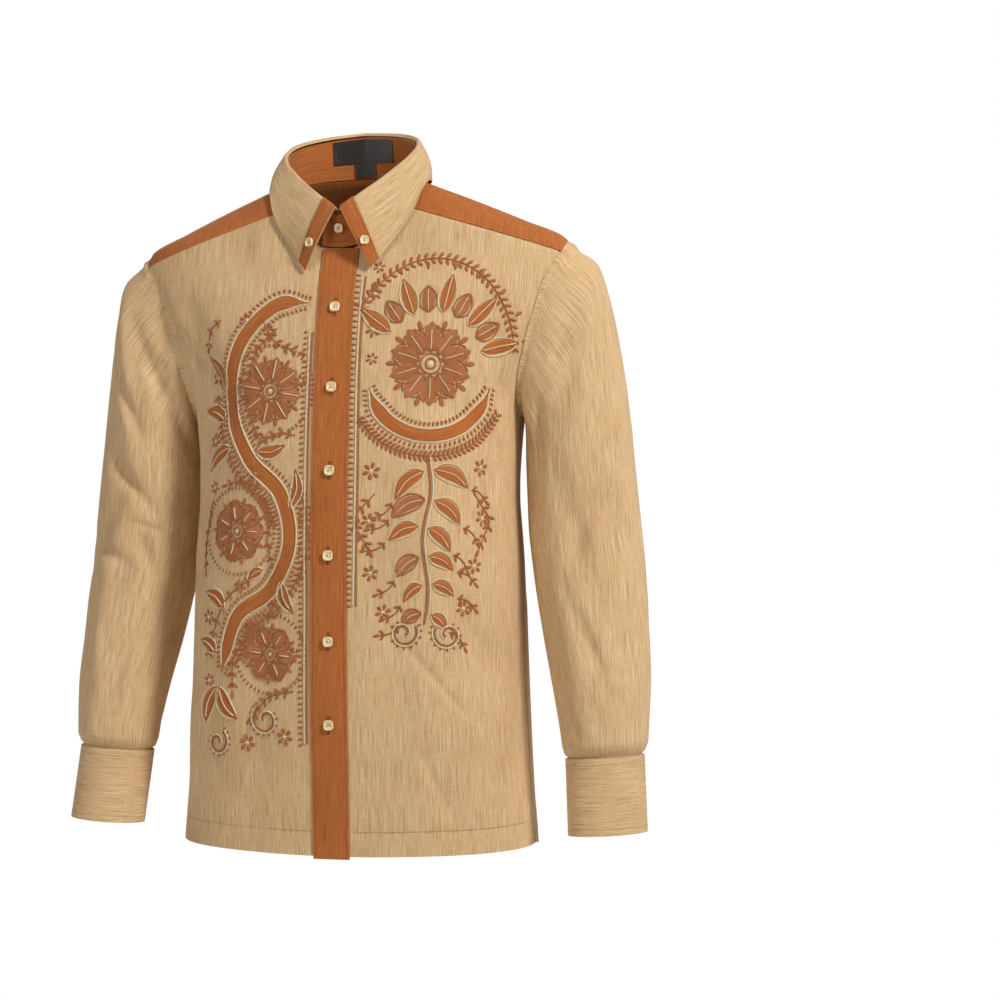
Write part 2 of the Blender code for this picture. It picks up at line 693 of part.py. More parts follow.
def sleeve_grid(side, rows=SLEEVE_ROWS):
    """Loft a sleeve, as the wearer's left one, from the armhole seam to the cuff."""
    steps = np.arange(LOOP_SEGMENTS)
    signed = np.where(steps > LOOP_SEGMENTS // 2, steps - LOOP_SEGMENTS, steps)
    places = np.array([armhole(int(step)) for step in signed])
    seam = body(places[:, 0] * side, places[:, 1]) * np.array([side, 1, 1])
    angle = 2 * pi * steps / LOOP_SEGMENTS
    top, under = seam[0], seam[LOOP_SEGMENTS // 2]
    slope = unit(top - under)
    first = seam + unit(np.array([slope[2], 0, -slope[0]])) * ARMHOLE_STEP
    ring_rows = [seam, first]
    lines = sleeve_lines(side)
    for share in np.linspace(0, 1, rows)[1:]:
        z = first[:, 2] * (1 - share) + sleeve_end(angle) * share
        plain = tube(angle, z)
        reach = SLEEVE_BLEND * (1 - 0.75 * np.clip(np.cos(angle), 0, 1))
        weight = ease(share / reach)[:, None]
        carried = first.copy()
        carried[:, 2] = z
        carried[:, 0] += (plain[:, 0] - first[:, 0]) * ease(share / reach * SLEEVE_WIDEN_RATE)
        ring = carried * (1 - weight) + plain * weight
        centre = ring.mean(axis=0)
        away = ring - centre
        away[:, 2] = 0
        depth = fold_depth(ring, lines) * ease(share / SLEEVE_CALM_TOP) * end_calm(share)
        ring_rows.append(ring - unit(away) * depth[:, None])
    for share, out in CUFF_TUCK:
        ring_rows.append(np.array([cuff_point(turn, share, out) for turn in angle]))
    return np.array(ring_rows[::-1])


CUFF_TOP = np.array((*CUFF_TOP_CENTRE, CUFF_TOP_Z))
CUFF_BOTTOM = np.array((*CUFF_BOTTOM_CENTRE, CUFF_BOTTOM_Z))
CUFF_AXIS = unit(CUFF_BOTTOM - CUFF_TOP)
CUFF_ACROSS = unit(np.array([1.0, 0, 0]) - CUFF_AXIS * CUFF_AXIS[0])
CUFF_DEEP = np.array([0.0, 1.0, 0.0])


def sleeve_end(angle):
    """Give the height of the sleeve's end, square to the cuff's axis."""
    across = CUFF_HALF_WIDTH * np.cos(angle) * CUFF_ACROSS[2]
    return SLEEVE_END_Z + across - CUFF_HALF_DEPTH * np.sin(angle) * CUFF_DEEP[2]


def cuff_point(angle, share, out=0.0):
    """Place a point of the left cuff, at a turn, a share of its height and a distance out."""
    centre = CUFF_TOP * (1 - share) + CUFF_BOTTOM * share
    across = CUFF_ACROSS * (CUFF_HALF_WIDTH + out) * cos(angle)
    return centre + across - CUFF_DEEP * (CUFF_HALF_DEPTH + out) * sin(angle)


def cuff_grid():
    """Wrap the left cuff, its outer end lying over its inner end."""
    turns = np.linspace(0, 2 * pi + CUFF_LAP, CUFF_SEGMENTS + 1)
    rise = ease((turns - 2 * pi + CUFF_RISE_START) / CUFF_RISE_LENGTH)
    out = (CUFF_WALL + LIE_GAP) * rise
    first = CUFF_START - CUFF_LAP
    return np.array([
        [cuff_point(first + turn, share, lift) for turn, lift in zip(turns, out)]
        for share in np.linspace(1, 0, CUFF_ROWS)
    ])


def sleeve_band_grid(side):
    """Lay the slit's band on the sleeve, its outer face a wall's thickness out."""
    lines = sleeve_lines(side)
    lift = LIE_GAP + TRIM_WALL + SLEEVE_CHORD_DIP
    grid = []
    for z in np.linspace(SLEEVE_END_Z + SLIT_END_RISE, SLIT_TOP_Z, SLIT_BAND_ROWS):
        line = []
        for across in (-0.5, 0.0, 0.5):
            angle = SLIT_TURN + SLIT_BAND_WIDTH * across / SLEEVE_RADIUS
            share = (z - SLEEVE_HEAD_Z) / (SLEEVE_END_Z - SLEEVE_HEAD_Z)
            plain = tube(angle, np.array(z))
            depth = fold_depth(plain[None], lines)[0] * end_calm(share)
            centre = tube(np.array([0, pi]), np.array([z, z])).mean(axis=0)
            away = plain - centre
            away[2] = 0
            line.append(plain - unit(away) * (float(depth) - lift))
        grid.append(line)
    return np.array(grid)


def neck_place(share, up):
    """Place the stand's outer side at a share round the neck and a share of its height.

    Shares below 0 run past the front on to the wearer's other side.
    """
    sign = 1.0
    if share < 0:
        share, sign = -share, -1.0
    elif share > 2:
        share = share - 2
    elif share > 1:
        share, sign = 2 - share, -1.0
    turn, z = neckline(share)
    low = form(turn, z) + np.array([0, 0, STAND_LIFT])
    high = np.array([float(smooth(share, NECK["share"], NECK[name]))
                     for name in ("fold_x", "fold_y", "fold_z")])
    high[0] -= NECK["fold_x"][0] * max(1 - share / STAND_LAP_SHARE, 0)
    point = low * (1 - up) + high * up
    return point * np.array([sign, 1, 1])


def stand_grid():
    """Wrap the collar stand round the neck, its left end over its right end."""
    over = STAND_WALL + STAND_LAP_GAP
    grid = []
    for height in (0.0, 0.5, 1.0):
        line = []
        for share in STAND_SHARES:
            past = min(share, 2 - share)
            lift = over * float(1 - ease((share - STAND_LAP_SHARE) / STAND_LAP_EASE))
            corner = STAND_CORNER * float(ease(0.5 - past / (2 * STAND_LAP_SHARE)))
            point = neck_place(share, height * (STAND_TOP - corner - STAND_DIP * lift / over))
            line.append(point + np.array([0, -lift, 0]))
        grid.append(line)
    return np.array(grid)[:, ::-1]


def fall_profile(share, down):
    """Place the collar fall's outer side: down 0 at the stand's top, 1 at the outer edge."""
    sign = 1.0
    if share > 1:
        share, sign = 2 - share, -1.0
    fold = np.array([float(smooth(share, NECK["share"], NECK[name]))
                     for name in ("fold_x", "fold_y", "fold_z")])
    edge_x = float(smooth(share, NECK["share"], NECK["edge_x"]))
    edge_z = float(smooth(share, NECK["share"], NECK["edge_z"]))
    front = share <= SIDE_OF_NECK
    turn = float(turn_at(edge_z, front, x=edge_x))
    edge = form(turn, edge_z) + form_normal(np.array(turn), np.array(edge_z)) * (
        EDGE_CLEARANCE + FALL_WALL)
    plan = np.array([fold[0], fold[1] - NECK_CENTRE_Y, 0])
    out = plan / np.linalg.norm(plan)
    seat = neck_place(share, STAND_TOP) + np.array([0, 0, FALL_SEAT + FALL_WALL])
    crest = fold + out * FOLD_REACH * 0.5 + np.array([0, 0, FOLD_RISE])
    turned = fold + out * FOLD_REACH + np.array([0, 0, FOLD_END_RISE])
    if down < FALL_CREST:
        t = down / FALL_CREST
        point = seat * (1 - t) + crest * t
    elif down < FALL_TURNED:
        t = (down - FALL_CREST) / (FALL_TURNED - FALL_CREST)
        point = crest * (1 - t) + turned * t
    else:
        t = (down - FALL_TURNED) / (1 - FALL_TURNED)
        point = turned * (1 - t) + edge * t + out * FALL_SWELL * sin(pi * t)
    return point * np.array([sign, 1, 1])


def fall_grid():
    """Fold the collar over the stand, from its left front edge round to its right one."""
    shares = np.linspace(0, 2, FALL_COLUMNS + 1)
    return np.array([[fall_profile(s, down) for s in shares] for down in FALL_DOWNS[::-1]])


def edge_strip_grid():
    """Lay the rust strip on the left front edge of the collar."""
    lift = LIE_GAP + TRIM_WALL
    grid = []
    for down in STRIP_DOWNS[::-1]:
        width = EDGE_STRIP / (FALL_HALF_LENGTH + FALL_FLARE * down)
        grid.append([fall_profile(share, down) for share in (0.0, width / 2, width)])
    grid = np.array(grid)
    return grid + grid_normals(grid, False) * lift


def band_grid(rows=36):
    """Lay the button band over both fronts."""
    half = BAND_WIDTH / 2
    low = float(hem_z(2.0)) - BAND_DROP
    grid = []
    for z in np.linspace(low, FRONT_NECK_Z - 0.0005, rows + 1):
        turns = np.array([front_turn(z, reach) for reach in (-half, 0.0, half)])
        points = body(turns, np.full(3, z))
        grid.append(points + form_normal(turns, np.full(3, z)) * (LIE_GAP + WALL))
    return np.array(grid)


def stand_strip(width, low, high):
    """Lay a strip on the inner face of the stand at the nape, its own outer side the stand's."""
    lift = STAND_WALL + LIE_GAP
    near = np.abs(STAND_SHARES - 1) < width / 2 / NECK_HALF_LENGTH
    shares = STAND_SHARES[near]
    grid = []
    for up in np.linspace(low, high, 3):
        line = []
        for share in shares:
            point = neck_place(share, up)
            inward = np.array([-point[0], NECK_CENTRE_Y - point[1], 0])
            line.append(point + unit(inward) * lift)
        grid.append(line)
    return np.array(grid)


def make_material(name):
    colour, roughness = MATERIALS[name]
    made = bpy.data.materials.new(name)
    made.use_nodes = True
    shader = made.node_tree.nodes["Principled BSDF"]
    shader.inputs["Base Color"].default_value = (*colour, 1)
    shader.inputs["Roughness"].default_value = roughness
    return made


def frame_from(normal, upward=(0, 0, 1)):
    """Make a turn whose third axis is the normal and whose second is nearly up."""
    normal = unit(np.array(normal, dtype=float))
    across = unit(np.cross(np.array(upward, dtype=float), normal))
    return np.stack((across, np.cross(normal, across), normal), axis=-1)


def add_button(name, centre, normal, size, round_face, material, collection):
    """Make a button: square with round corners, or round, with a slightly domed face."""
    mesh = bpy.data.meshes.new(name)
    shape = bmesh.new()
    if round_face:
        bmesh.ops.create_cone(
            shape, cap_ends=True, segments=ROUND_BUTTON_SIDES, radius1=size / 2, radius2=size / 2,
            depth=BUTTON_THICK,
        )
    else:
        bmesh.ops.create_cube(shape, size=1)
        bmesh.ops.scale(shape, vec=(size, size, BUTTON_THICK), verts=shape.verts)
        upright = [e for e in shape.edges if abs(e.verts[0].co.z - e.verts[1].co.z) > 0.001]
        bmesh.ops.bevel(shape, geom=upright, offset=size * BUTTON_CORNER, segments=3,
                        affect="EDGES", profile=0.5)
    rims = [e for e in shape.edges
            if e.verts[0].co.z > 0 and e.verts[1].co.z > 0 and len(e.link_faces) == 2
            and any(abs(f.normal.z) < 0.5 for f in e.link_faces)]
    bmesh.ops.bevel(shape, geom=rims, offset=BUTTON_THICK * BUTTON_RIM, segments=1, affect="EDGES")
    shape.to_mesh(mesh)
    shape.free()
    made = finish_object(name, mesh, material, collection)
    normal = unit(np.array(normal, dtype=float))
    made.location = np.array(centre) + normal * (BUTTON_THICK / 2 + LIE_GAP)
    made.rotation_euler = Matrix(frame_from(normal).tolist()).to_euler()
    return made


def build_buttons(materials, collection):
    """Place the fifteen buttons."""
    gold, amber = materials["button"], materials["cuff_button"]
    outward = LIE_GAP + WALL
    for number, z in enumerate(FRONT_BUTTONS_Z, start=1):
        turn, height = np.array(2.0), np.array(z)
        normal = form_normal(turn, height)
        centre = body(turn, height) + normal * (outward + BUTTON_LIFT)
        add_button(f"button_front_{number}", centre, normal, BUTTON_SIZE, False, gold, collection)
    stand = neck_place(0.0, STAND_BUTTON_UP) + np.array([0, -(STAND_WALL + STAND_LAP_GAP), 0])
    stand_slope = neck_place(0.0, 1.0) - neck_place(0.0, 0.0)
    normal = np.cross(np.array([1.0, 0, 0]), unit(stand_slope))
    add_button("button_stand", stand, normal, SMALL_BUTTON_SIZE, False, gold, collection)
    strip = edge_strip_grid()
    strip_normal = grid_normals(strip, False)[1:3, 1].sum(axis=0)
    for side, label in ((1, "left"), (-1, "right")):
        flip = np.array([side, 1, 1])
        centre = strip[1:3, 1].mean(axis=0)
        add_button(f"button_collar_{label}", centre * flip, strip_normal * flip,
                   SMALL_BUTTON_SIZE, False, gold, collection)
        for number, share in enumerate(CUFF_BUTTON_SHARES, start=1):
            angle = CUFF_START - CUFF_LAP / 2
            centre = cuff_point(angle, share, CUFF_WALL + LIE_GAP + BUTTON_LIFT)
            normal = centre - cuff_point(angle, share, -0.01)
            add_button(f"button_cuff_{label}_{number}", centre * flip, normal * flip,
                       CUFF_BUTTON_SIZE, True, amber, collection)
        band = sleeve_band_grid(side)
        centre = band[SLIT_BUTTON_ROW, 1]
        normal = -grid_normals(band, False)[SLIT_BUTTON_ROW, 1]
        add_button(f"button_slit_{label}", (centre + normal * BUTTON_LIFT) * flip, normal * flip,
                   CUFF_BUTTON_SIZE, True, amber, collection)


def main():
    for old in list(bpy.data.objects):
        bpy.data.objects.remove(old, do_unlink=True)
    collection = bpy.data.collections.new(GARMENT)
    bpy.context.scene.collection.children.link(collection)
    materials = {name: make_material(name) for name in MATERIALS}
    linen, rust = materials["linen"], materials["rust_linen"]

    half = BAND_WIDTH / 2
    left_places = open_vent(front_panel(half - BAND_LAP), 1)
    right_places = open_vent(front_panel(half - UNDER_LAP), 1) * (-1, 1)
    back_places = back_panel()
    side_sign = -np.sign(back_places[..., 0])
    back_places = open_vent(back_places, side_sign)
    yoke_places = yoke_panel()

    def laid(places):
        return body(places[..., 0], places[..., 1])

    front_left = Panel("front_left", laid(left_places), WALL, linen)
    front_right = Panel("front_right", laid(right_places), WALL, linen)
    back = Panel("back", laid(back_places), WALL, linen)
    yoke = Panel("yoke", laid(yoke_places), WALL, rust)
    sleeve_left = Panel("sleeve_left", sleeve_grid(1), WALL, linen, closed=True)
    sleeve_right = Panel("sleeve_right", mirrored(sleeve_grid(-1)), WALL, linen, closed=True)
    sewn = [front_left, front_right, back, yoke, sleeve_left, sleeve_right]
    for panel in sewn:
        point_outward(panel)
    share_normals(sewn)
    for panel in sewn:
        panel.pull_edges()

    trims = [
        Panel("button_band", band_grid(), WALL, rust, gap=0),
        Panel("collar_stand", stand_grid(), STAND_WALL, rust, gap=0),
        Panel("collar_fall", fall_grid(), FALL_WALL, linen, gap=0),
        Panel("collar_edge_left", edge_strip_grid(), TRIM_WALL, rust, gap=0),
        Panel("collar_edge_right", mirrored(edge_strip_grid()), TRIM_WALL, rust, gap=0),
        Panel("cuff_left", cuff_grid(), CUFF_WALL, linen, gap=0),
        Panel("cuff_right", mirrored(cuff_grid()), CUFF_WALL, linen, gap=0),
        Panel("sleeve_band_left", sleeve_band_grid(1), TRIM_WALL, linen, gap=0),
        Panel("sleeve_band_right", mirrored(sleeve_band_grid(-1)), TRIM_WALL, linen, gap=0),
        Panel("neck_label", stand_strip(LABEL_WIDTH, LABEL_BOTTOM, LABEL_TOP), TRIM_WALL,
              materials["label"], gap=0),
        Panel("size_tab", stand_strip(TAB_WIDTH, TAB_BOTTOM, TAB_TOP), TRIM_WALL,
              materials["label"], gap=0),
    ]
    for panel in trims:
        point_outward(panel)
    for panel in sewn + trims:
        panel.build(collection)
    build_buttons(materials, collection)


def point_outward(panel):
    """Turn a panel's directions away from the middle of the piece it wraps."""
    if panel.name.startswith(("sleeve", "cuff")):
        middle = tube(np.array([0, pi]), panel.grid[..., 2].mean() * np.ones(2)).mean(axis=0)
        if panel.name.endswith("right"):
            middle = mirrored(middle)
    else:
        middle = np.array([0, 0, panel.grid[..., 2].mean()])
    away = ((panel.grid - middle) * panel.normals).sum(axis=-1)
    if np.median(away) < 0:
        panel.normals = -panel.normals


main()
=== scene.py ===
# %% [markdown]
# This is a long-sleeved linen shirt, filled out as if someone wore it: beige slub linen with a
# rust yoke, button band and collar edges, and embroidery down both fronts. On the real one flat
# pieces of cloth are cut, sewn and pressed. A cloth simulation could drape flat pieces over a
# body, but the solids already hold the pose, so each piece here is a thin shell laid on the same
# form, at a finer step, and its creases are added one by one. The imported solids are loaded first
# and stay as they are.

# %% Frame and tools
import json

import bmesh
import bpy
import numpy as np
from math import cos, pi, radians, sin
from mathutils import Matrix, Vector

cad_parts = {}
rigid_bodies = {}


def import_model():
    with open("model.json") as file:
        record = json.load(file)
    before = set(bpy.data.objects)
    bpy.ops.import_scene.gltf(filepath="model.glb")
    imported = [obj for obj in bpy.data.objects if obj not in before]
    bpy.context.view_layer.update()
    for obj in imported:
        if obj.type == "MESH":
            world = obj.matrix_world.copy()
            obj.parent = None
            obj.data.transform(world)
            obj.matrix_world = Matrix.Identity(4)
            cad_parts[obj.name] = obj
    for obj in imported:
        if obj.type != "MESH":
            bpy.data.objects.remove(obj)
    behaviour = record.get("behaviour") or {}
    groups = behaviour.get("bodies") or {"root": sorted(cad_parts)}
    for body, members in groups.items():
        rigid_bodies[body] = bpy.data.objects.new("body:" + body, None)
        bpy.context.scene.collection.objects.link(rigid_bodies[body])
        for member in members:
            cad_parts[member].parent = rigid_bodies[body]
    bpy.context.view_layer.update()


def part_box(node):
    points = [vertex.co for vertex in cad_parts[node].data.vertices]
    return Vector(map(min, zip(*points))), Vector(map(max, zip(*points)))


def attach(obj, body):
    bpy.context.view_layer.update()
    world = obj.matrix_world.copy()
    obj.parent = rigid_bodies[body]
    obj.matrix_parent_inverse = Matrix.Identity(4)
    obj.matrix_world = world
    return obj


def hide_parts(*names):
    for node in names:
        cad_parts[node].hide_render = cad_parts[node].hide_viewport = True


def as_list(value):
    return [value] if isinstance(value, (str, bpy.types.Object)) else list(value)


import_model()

# %% [markdown]
# The photograph was taken from about 16 degrees to the wearer's left, with a level camera at the
# height of the chest. Its scale is 1.13 mm to a pixel at the middle of the body, so the distance
# gives the lens. The shift moves the frame without tilting the camera.

# %% Camera
CAMERA_DISTANCE = 2.6
CAMERA_TURN = radians(16.3)
CAMERA_HEIGHT = -0.450
SENSOR = 36.0
PICTURE_WIDTH = 1.130
CAMERA_SHIFT = (0.14, 0.09)


def add_camera():
    lens = bpy.data.cameras.new("camera")
    lens.sensor_width = SENSOR
    lens.lens = SENSOR * CAMERA_DISTANCE / PICTURE_WIDTH
    lens.shift_x, lens.shift_y = CAMERA_SHIFT
    camera = bpy.data.objects.new("camera", lens)
    bpy.context.scene.collection.objects.link(camera)
    across, back = sin(CAMERA_TURN), -cos(CAMERA_TURN)
    camera.location = (CAMERA_DISTANCE * across, CAMERA_DISTANCE * back, CAMERA_HEIGHT)
    camera.rotation_euler = (radians(90), 0, CAMERA_TURN)
    bpy.context.scene.camera = camera
    print("lens, mm:", round(lens.lens, 1))


add_camera()

# %% [markdown]
# The pattern cutter's sizes come next: how thick the cloth is, where the hem, band and seams lie,
# and the rings that the body of the shirt passes through. They are the sizes of the solids,
# because a shell that stands for a solid has to lie where the solid is.

# %% Sizes of the garment
LINEN_THICK = 0.0012
STAND_THICK = 0.0016
FALL_THICK = 0.0015
CUFF_THICK = 0.0017
TRIM_THICK = 0.0011
LIE_GAP = 0.0004
HEM_SIDE_Z = -0.729
HEM_FRONT_DROP = 0.010
HEM_BACK_DROP = 0.014
HEM_DEEP = 0.027
VENT_TOP_Z = -0.672
VENT_SPREAD = 0.0025
VENT_REACH_TURN = 0.2
HEM_QUARTER = 0.27
UNDERARM_Z = -0.257
BAND_WIDTH = 0.041
BAND_LAP = 0.005
BAND_DROP = 0.003
UNDER_LAP = 0.034
FRONT_NECK_Z = -0.075
BACK_YOKE_Z = -0.168

# Rings round the body, from above the nape to the hem
RING_COLUMNS = ("z", "half_width", "y_front", "y_side", "y_back", "square")
RINGS = (
    (0.026, 0.034, -0.012, -0.006, 0.023, 2.0),
    (0.013, 0.064, -0.040, -0.023, 0.035, 2.1),
    (0.000, 0.088, -0.058, -0.034, 0.050, 2.2),
    (-0.020, 0.137, -0.063, -0.031, 0.068, 2.4),
    (-0.045, 0.195, -0.067, -0.026, 0.083, 2.6),
    (-0.066, 0.240, -0.071, -0.020, 0.092, 2.6),
    (-0.088, 0.250, -0.078, -0.015, 0.099, 2.5),
    (-0.130, 0.240, -0.092, -0.008, 0.107, 2.4),
    (-0.180, 0.216, -0.102, -0.002, 0.112, 2.4),
    (-0.250, 0.188, -0.110, 0.000, 0.114, 2.4),
    (-0.340, 0.183, -0.117, 0.000, 0.110, 2.4),
    (-0.420, 0.188, -0.121, 0.000, 0.108, 2.4),
    (-0.560, 0.193, -0.120, 0.000, 0.112, 2.4),
    (-0.670, 0.198, -0.113, 0.000, 0.118, 2.4),
    (-0.760, 0.205, -0.108, 0.000, 0.122, 2.4),
)

# Neckline, fold and outer edge of the collar, from the front (0) to the nape (1)
COLLAR_COLUMNS = (
    "share", "neck_x", "neck_z", "fold_x", "fold_y", "fold_z", "edge_x", "edge_z",
)
COLLAR = (
    (0.00, 0.000, -0.075, 0.003, -0.0835, -0.034, 0.037, -0.1000),
    (0.10, 0.021, -0.072, 0.020, -0.0775, -0.020, 0.048, -0.0860),
    (0.20, 0.041, -0.063, 0.038, -0.0690, -0.005, 0.059, -0.0700),
    (0.30, 0.058, -0.049, 0.055, -0.0590, 0.011, 0.070, -0.0530),
    (0.40, 0.074, -0.030, 0.068, -0.0475, 0.026, 0.079, -0.0370),
    (0.50, 0.083, -0.007, 0.073, -0.0340, 0.038, 0.087, -0.0140),
    (0.55, 0.086, 0.001, 0.072, -0.0260, 0.043, 0.091, -0.0010),
    (0.60, 0.076, 0.005, 0.070, -0.0180, 0.048, 0.087, 0.0000),
    (0.70, 0.063, 0.010, 0.061, -0.0050, 0.055, 0.073, 0.0015),
    (0.85, 0.036, 0.016, 0.036, 0.0120, 0.063, 0.042, 0.0030),
    (1.00, 0.000, 0.019, 0.000, 0.0190, 0.067, 0.000, 0.0040),
)
NECK_CENTRE_Y = -0.035
STAND_LAP_SHARE = 0.10
STAND_LAP_GAP = 0.0011
STAND_LAP_EASE = 0.25
STAND_LIFT = 0.0014
STAND_TOP = 0.955
STAND_CORNER = 0.12
STAND_DIP = 0.045
FALL_SEAT = 0.0006
FOLD_RISE = 0.0036
FOLD_REACH = 0.0062
FOLD_END_RISE = 0.0008
FALL_TURNED = 0.24
FALL_SWELL = 0.004
STRIP_DOWNS = (0.14, 1.0)
EDGE_CLEARANCE = 0.0030
EDGE_STRIP = 0.016
FALL_HALF_LENGTH = 0.19
FALL_FLARE = 0.02

# Sleeve: a tube beside the body, from the armhole to the cuff
SLEEVE_COLUMNS = ("z", "x_outer", "x_inner", "y_front", "y_back")
SLEEVE = (
    (-0.060, 0.2440, 0.1900, -0.052, 0.026),
    (-0.075, 0.2620, 0.1905, -0.054, 0.030),
    (-0.095, 0.2745, 0.1910, -0.056, 0.036),
    (-0.125, 0.2840, 0.1920, -0.058, 0.045),
    (-0.165, 0.2925, 0.1925, -0.058, 0.056),
    (-0.220, 0.3010, 0.1925, -0.056, 0.067),
    (-0.290, 0.3105, 0.1915, -0.052, 0.072),
    (-0.370, 0.3195, 0.1930, -0.051, 0.072),
    (-0.430, 0.3255, 0.2000, -0.055, 0.067),
    (-0.500, 0.3290, 0.2130, -0.062, 0.055),
    (-0.560, 0.3320, 0.2260, -0.068, 0.040),
    (-0.605, 0.3310, 0.2350, -0.068, 0.026),
    (-0.640, 0.3270, 0.2405, -0.066, 0.016),
)
ARMHOLE_STEP = 0.0060
SLEEVE_BLEND = 0.30
SLEEVE_WIDEN_RATE = 1.6
SLEEVE_CALM_TOP = 0.10
SLEEVE_CALM_END = 0.94
SLEEVE_END_Z = -0.6180

# Cuff
CUFF_TOP_Z = -0.6305
CUFF_BOTTOM_Z = -0.7120
CUFF_TOP_CENTRE = (0.2840, -0.0240)
CUFF_BOTTOM_CENTRE = (0.2900, -0.0395)
CUFF_HALF_WIDTH = 0.0430
CUFF_HALF_DEPTH = 0.0385
CUFF_LAP = radians(34)
CUFF_START = radians(-62)
# The lap rises to lie over the cuff between these turns before its end
CUFF_RISE_START = 0.9
CUFF_RISE_LENGTH = 0.8
# Where the sleeve tucks into the cuff: share of the cuff's height, distance out from its form
CUFF_TUCK = ((-0.055, 0.0006), (-0.028, -0.0022), (0.035, -0.0036))

# Band over the sleeve slit
SLIT_TURN = radians(-58)
SLIT_TOP_Z = -0.512
SLIT_END_RISE = 0.006
SLIT_BAND_WIDTH = 0.024
SLEEVE_RADIUS = 0.052
SLEEVE_HEAD_Z = -0.10
SLEEVE_CHORD_DIP = 0.0006

# %% [markdown]
# A few helpers read those tables. `smooth` runs a curve through the rows that never swings past
# them, as a draughtsman's spline would. `form` places a point on the plain body: its turn is 0 at
# the nape, 1 at the wearer's left side and 2 at the middle of the front, and negative on the
# right.

# %% The body's plain form
QUARTER_SAMPLES = 81


def by_column(columns, rows):
    table = np.array(sorted(rows), dtype=float)
    return {name: table[:, place] for place, name in enumerate(columns)}


def smooth(at, knots, values):
    at = np.clip(np.asarray(at, dtype=float), knots[0], knots[-1])
    steps = np.diff(knots)
    slopes = np.diff(values) / steps
    product = slopes[:-1] * slopes[1:]
    total = slopes[:-1] + slopes[1:]
    inner = np.where(product > 0, 2 * product / np.where(total == 0, 1, total), 0)
    tangents = np.concatenate(([slopes[0]], inner, [slopes[-1]]))
    place = np.clip(np.searchsorted(knots, at) - 1, 0, len(knots) - 2)
    step = steps[place]
    t = (at - knots[place]) / step
    rise = t * t * (3 - 2 * t)
    bend = tangents[place] * step * (t - 2 * t * t + t ** 3)
    bend = bend + tangents[place + 1] * step * (t ** 3 - t * t)
    return values[place] * (1 - rise) + values[place + 1] * rise + bend


def ease(share):
    share = np.clip(share, 0, 1)
    return share * share * (3 - 2 * share)


def unit(vectors):
    return vectors / np.linalg.norm(vectors, axis=-1, keepdims=True)


def mirrored(points):
    return points * np.array([-1, 1, 1])


BODY = by_column(RING_COLUMNS, RINGS)
TUBE = by_column(SLEEVE_COLUMNS, SLEEVE)
NECK = by_column(COLLAR_COLUMNS, COLLAR)


def quarter(z, front):
    """Sample a quarter of the ring at z: across, deep, share of its length, and its length."""
    half = smooth(z, BODY["z"], BODY["half_width"])[..., None]
    side = smooth(z, BODY["z"], BODY["y_side"])[..., None]
    ends = (smooth(z, BODY["z"], BODY[name])[..., None] for name in ("y_front", "y_back"))
    power = 2 / smooth(z, BODY["z"], BODY["square"])[..., None]
    middle = np.where(np.asarray(front)[..., None], *ends)
    angle = np.linspace(0, pi / 2, QUARTER_SAMPLES)
    x = half * np.abs(np.cos(angle)) ** power
    y = side + (middle - side) * np.sin(angle) ** power
    length = np.zeros_like(x)
    length[..., 1:] = np.cumsum(np.hypot(np.diff(x), np.diff(y)), axis=-1)
    return x, y, length / length[..., -1:], length[..., -1]


def form(turn, z):
    turn, z = np.broadcast_arrays(np.asarray(turn, dtype=float), np.asarray(z, dtype=float))
    wrapped = np.where(np.abs(turn) > 2, -np.sign(turn) * (4 - np.abs(turn)), turn)
    share = np.abs(np.abs(wrapped) - 1)
    x, y, length, _ = quarter(z, np.abs(wrapped) > 1)
    place = np.clip((length < share[..., None]).sum(axis=-1), 1, QUARTER_SAMPLES - 1)[..., None]

    def pick(samples, offset):
        return np.take_along_axis(samples, place + offset, axis=-1)[..., 0]

    part = (share - pick(length, -1)) / (pick(length, 0) - pick(length, -1))
    across = pick(x, -1) * (1 - part) + pick(x, 0) * part
    deep = pick(y, -1) * (1 - part) + pick(y, 0) * part
    return np.stack((across * np.where(wrapped < 0, -1, 1), deep, z), axis=-1)


def form_normal(turn, z):
    nudge_turn, nudge_z = 0.02, 0.003
    round_way = form(turn + nudge_turn, z) - form(turn - nudge_turn, z)
    upward = form(turn, z + nudge_z) - form(turn, z - nudge_z)
    return -unit(np.cross(round_way, upward))


def turn_at(z, front, x=None, y=None):
    """Find the turn, on the wearer's left, where the ring at z has this x or this y."""
    xs, ys, length, _ = quarter(np.asarray(z, dtype=float), front)
    if x is not None:
        share = np.interp(-x, -xs, length)
    else:
        share = np.interp(-y, -ys, length) if front else np.interp(y, ys, length)
    return float(1 + share if front else 1 - share)


FRONT_HEIGHTS = np.linspace(BODY["z"][0], BODY["z"][-1], 200)
FRONT_LENGTHS = quarter(FRONT_HEIGHTS, True)[3]
BACK_LENGTHS = quarter(FRONT_HEIGHTS, False)[3]


def front_turn(z, reach):
    """Find the turn at this distance round from the middle of the front, to the wearer's left."""
    return 2 - reach / np.interp(z, FRONT_HEIGHTS, FRONT_LENGTHS)


print("front half of the chest, mm:", round(2000 * float(quarter(np.array(-0.30), True)[3])))

# %% [markdown]
# Linen creases where the arm lifts the cloth and where the body bends. The largest folds are in
# the solids too, so their table is the same. A second table holds creases that are too fine for
# the solids. Each is a line between two places on the cloth, with a half width and a depth, and a
# depth below 0 is a ridge. They are uneven on purpose, as the ones in the photograph are.

# %% Folds and creases in the body
FOLD_SAMPLES = 9
FOLD_END_SHARE = 0.06
FOLD_FADE_POWER = 0.7

